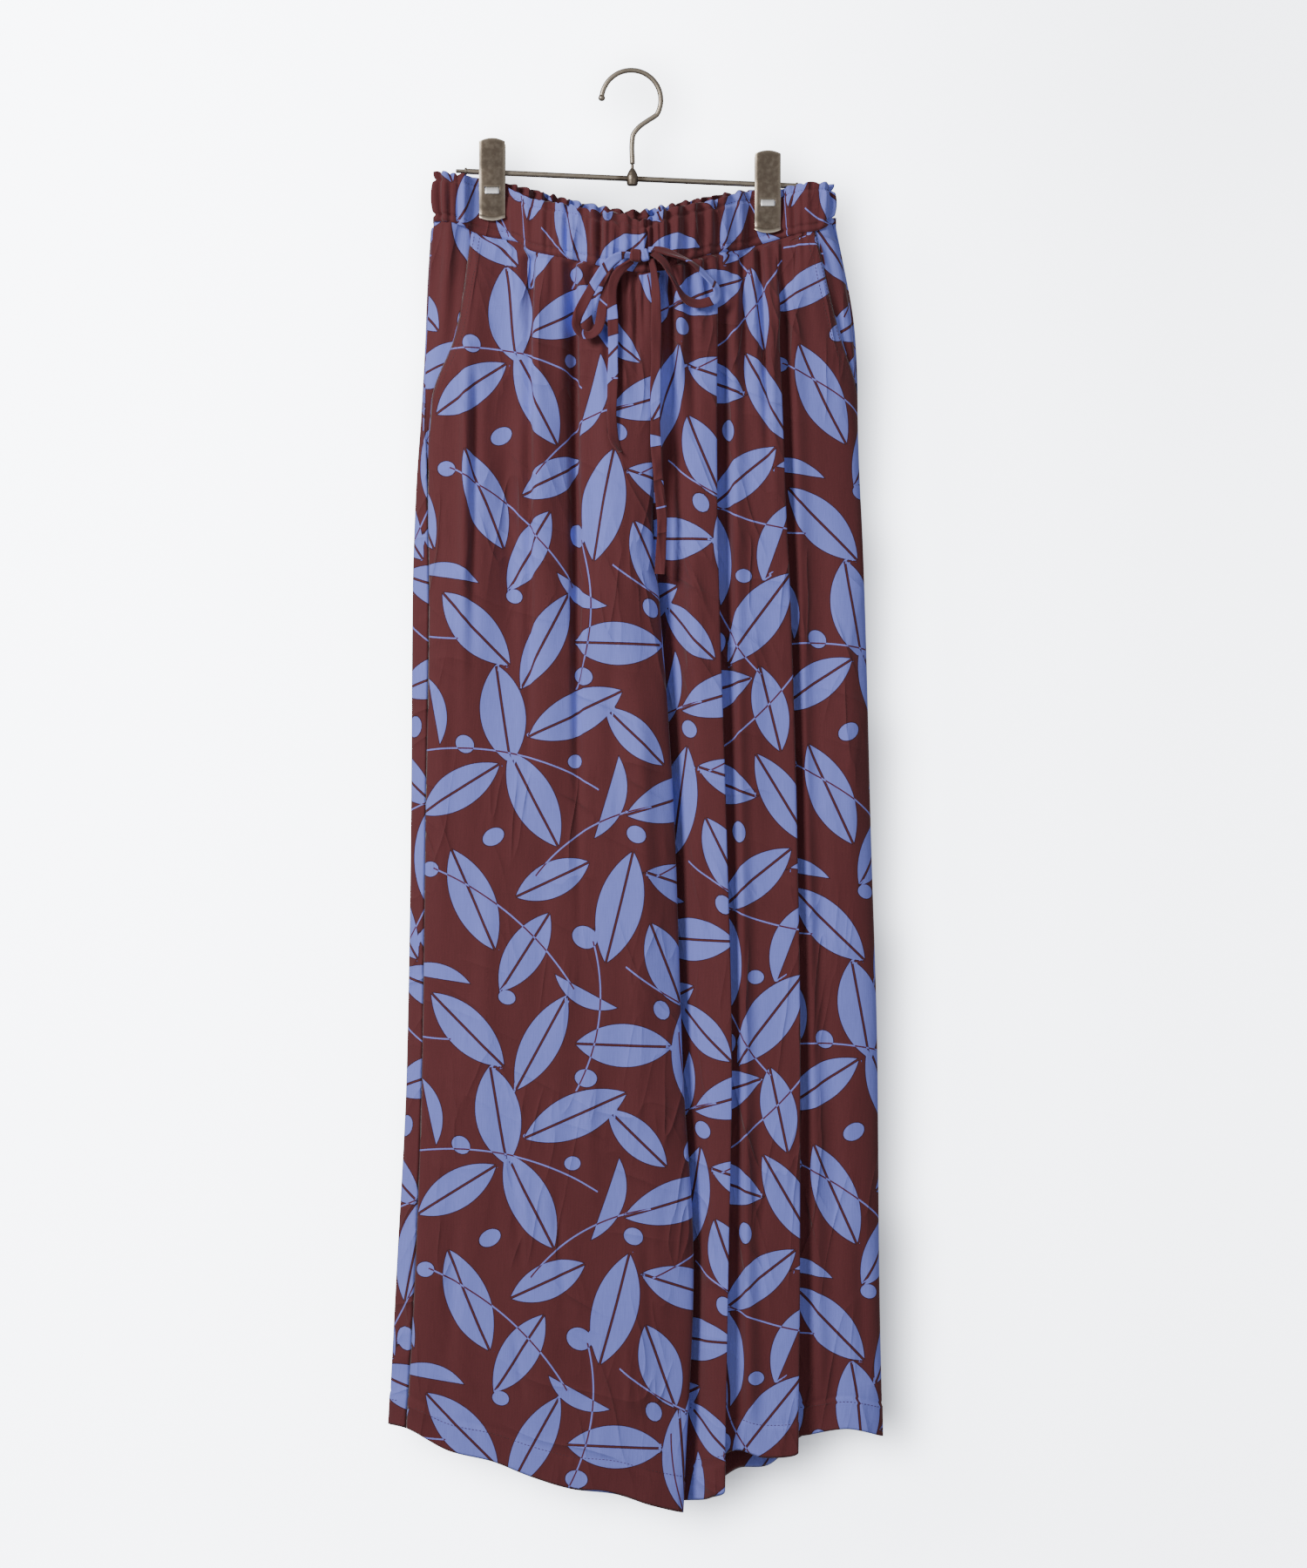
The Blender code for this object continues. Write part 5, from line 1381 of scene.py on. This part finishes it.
def turned_about(name, profile, place, lean, nodes, wear_and_highlight=None, steps=56):
    """A turned piece from a profile of radius and height, its axis leaning in the hanger's plane. Its
    brightness is as given for each row of the profile, or else it is rubbed bright where the profile bends."""
    radius, height = np.asarray(profile, float).T[..., None]
    turn = np.linspace(0, 2 * math.pi, steps, endpoint=False)
    points = np.stack(np.broadcast_arrays(radius * np.cos(turn), radius * np.sin(turn), height), -1)
    points = points @ np.array(Matrix.Rotation(lean, 3, "Y")).T + place
    obj = object_of(name, points, tube_faces(len(radius), steps, True), BRASS, nodes)
    obj.data.set_sharp_from_angle(angle=math.radians(40))
    if wear_and_highlight is None:
        wear_and_highlight = 0.12 + np.clip(0.9 * np.abs(np.gradient(np.gradient(radius[:, 0]))), 0, 0.6)
    set_wear_and_highlight(obj, np.broadcast_to(wear_and_highlight[:, None], points.shape[:2]))
    return obj


def bar_height(x):
    """Height of the bar's middle at x. The bar leans a little."""
    return BAR_LEFT[1] + (x - BAR_LEFT[0]) * (BAR_RIGHT[1] - BAR_LEFT[1]) / (BAR_RIGHT[0] - BAR_LEFT[0])


def finer(profile, count):
    """The profile again with count points, evenly parted."""
    profile = np.asarray(profile, float)
    at = lengths_along(profile)
    return columns_at(at, profile, np.linspace(0, at[-1], count))


def bar():
    """The bar with a collar near each end, and its bright tips."""
    lean = math.atan2(BAR_RIGHT[1] - BAR_LEFT[1], BAR_RIGHT[0] - BAR_LEFT[0])
    thick, thin, stop = (diameter / 2 + WIRE_FINISH
                         for diameter in (BAR_DIAMETER, BAR_END_DIAMETER, BAR_STOP_DIAMETER))
    half = math.dist(BAR_LEFT, BAR_RIGHT) / 2
    shoulder = half - BAR_SHOULDER
    collar = shoulder + BAR_STOP_WIDTH
    end = [(0.05, half), (thin - 0.5, half), (thin, half - 0.5), (thin, collar), (stop - 0.3, collar),
           (stop, collar - 0.3), (stop, shoulder + 0.3), (stop - 0.3, shoulder), (thick, shoulder)]
    middle = ((BAR_LEFT[0] + BAR_RIGHT[0]) / 2, 0.0, (BAR_LEFT[1] + BAR_RIGHT[1]) / 2)
    between = [(thick, height) for height in np.linspace(shoulder, -shoulder, 90)[1:-1]]
    profile = np.array(end + between + [(radius, -height) for radius, height in reversed(end)])
    # Darker within 9 to 12 mm of the hub's middle, brighter towards the ends.
    return turned_about("hanger_bar_rod", profile, middle, math.radians(90) - lean, ("hanger_bar",),
                        0.5 * ramp(np.abs(profile[:, 1]), 9, 12), 32)


def from_window(rows, columns):
    """How far each place in a grid lies outside the leaf's window. It is below 0 inside."""
    beside = np.abs(columns) - WINDOW_WIDE / 2
    return np.maximum(beside, np.abs(rows - WINDOW_HEIGHT)[:, None] - WINDOW_TALL / 2)


def sheet_metal(obj, thickness):
    """Thickens a surface evenly to both sides."""
    wall = obj.modifiers.new("sheet", "SOLIDIFY")
    wall.thickness = thickness * MM
    wall.offset = 0.0
    wall.use_even_offset = False


def rounded_edges(obj, width):
    """Rounds the sharp edges."""
    edge = obj.modifiers.new("edge", "BEVEL")
    edge.width = width * MM
    edge.segments = 2
    edge.limit_method = "ANGLE"
    edge.angle_limit = math.radians(50)


def leaf(side_name, leaf_name, side, x):
    """One leaf of a clip: crowned sheet with a rolled lower lip, a window and worn edges."""
    heights, outs = np.array(CLIP_PROFILE, float)[::-1].T
    half = CLIP_WIDTH / 2
    edges = (-half, -WINDOW_WIDE / 2, WINDOW_WIDE / 2, half)
    parts = [np.linspace(start, end, count, endpoint=False)
             for start, end, count in zip(edges, edges[1:], (6, 14, 6))]
    columns = np.concatenate([*parts, [half]])
    window_ends = WINDOW_HEIGHT + WINDOW_TALL / 2 * np.array((-1, 1))
    rows = np.sort(np.concatenate([np.linspace(heights[0], heights[-1], 66), window_ends]))
    share = (rows + CLIP_BELOW_BAR) / (CLIP_ABOVE_BAR + CLIP_BELOW_BAR)
    across = columns / half
    bend = CLIP_END_ARC * (2 * share - 1)[:, None] * across**2
    crown = 0.5 * (1 - across**2) - 0.55 * ramp(np.abs(across), 0.8, 1.0)
    lip = 0.7 * np.exp(-((rows - rows[0] - 1.4) / 1.2) ** 2)
    out = (steady(heights, outs, rows) + lip)[:, None] + crown
    grid = np.stack(np.broadcast_arrays(x + columns, side * out, bar_height(x) + rows[:, None] - bend), -1)
    hole = from_window((rows[1:] + rows[:-1]) / 2, (columns[1:] + columns[:-1]) / 2) < 0
    faces = grid_faces(*grid.shape[:2], side > 0)[~hole.ravel()]
    name = f"clip_{side_name}_{leaf_name}"
    obj = object_of(f"{name}_sheet", grid, faces, BRASS, (name,))
    from_end = np.minimum(rows - rows[0], rows[-1] - rows)[:, None]
    near = np.minimum(half - np.abs(columns), from_end)
    wear_and_highlight = 0.75 * np.exp(-near / 0.8) + 0.5 * np.exp(-np.abs(from_window(rows, columns)) / 0.6)
    set_wear_and_highlight(obj, wear_and_highlight + 0.5 * (rows < rows[0] + 2.6)[:, None])
    sheet_metal(obj, CLIP_SHEET)
    rounded_edges(obj, 0.25)
    return obj


def spring(side_name, x):
    """The flat steel spring over the bar, whose ends show in the leaves' windows."""
    half = np.array(SPRING_PATH, float)
    path = np.concatenate([half * (-1, 1), half[-2::-1]])
    at = lengths_along(path)
    path = rounded(at, path, np.linspace(0, at[-1], SPRING_STEPS))
    columns = np.linspace(-0.5, 0.5, 9) * SPRING_WIDTH
    grid = np.stack(np.broadcast_arrays(x + columns, path[:, :1], bar_height(x) + path[:, 1:]), -1)
    name = f"clip_{side_name}_spring"
    faces = grid_faces(*grid.shape[:2], False)
    obj = object_of(f"{name}_strip", grid, faces, STEEL, (name,))
    set_wear_and_highlight(obj, np.zeros(grid.shape[:2]))
    sheet_metal(obj, SPRING_SHEET)
    return obj


hook()
hub_profile = finer([(0.05, HUB_PROFILE[0][1]), *HUB_PROFILE[1:-1], (0.05, HUB_PROFILE[-1][1])], 70)
turned_about("hanger_hub_turned", hub_profile, (HUB_X, 0.0, 0.0), 0.0, ("hanger_hub",))
bar()
for clip_name, clip_x in zip(("left", "right"), CLIP_X):
    leaf(clip_name, "front", -1, clip_x)
    leaf(clip_name, "back", 1, clip_x)
    spring(clip_name, clip_x)
print("hanger:", sum(name.startswith(("hanger", "clip")) for name in PIECES), "pieces")

# %% [markdown]
# ## Wall
# The wall is built last, from the outline of every piece, which gives its painted shadow.

outline = []
for piece in PIECES.values():
    at = np.empty(3 * len(piece.data.vertices), np.float32)
    piece.data.vertices.foreach_get("co", at)
    outline.append(at.reshape(-1, 3)[:, ::2] / MM)
build_wall(np.concatenate(outline))
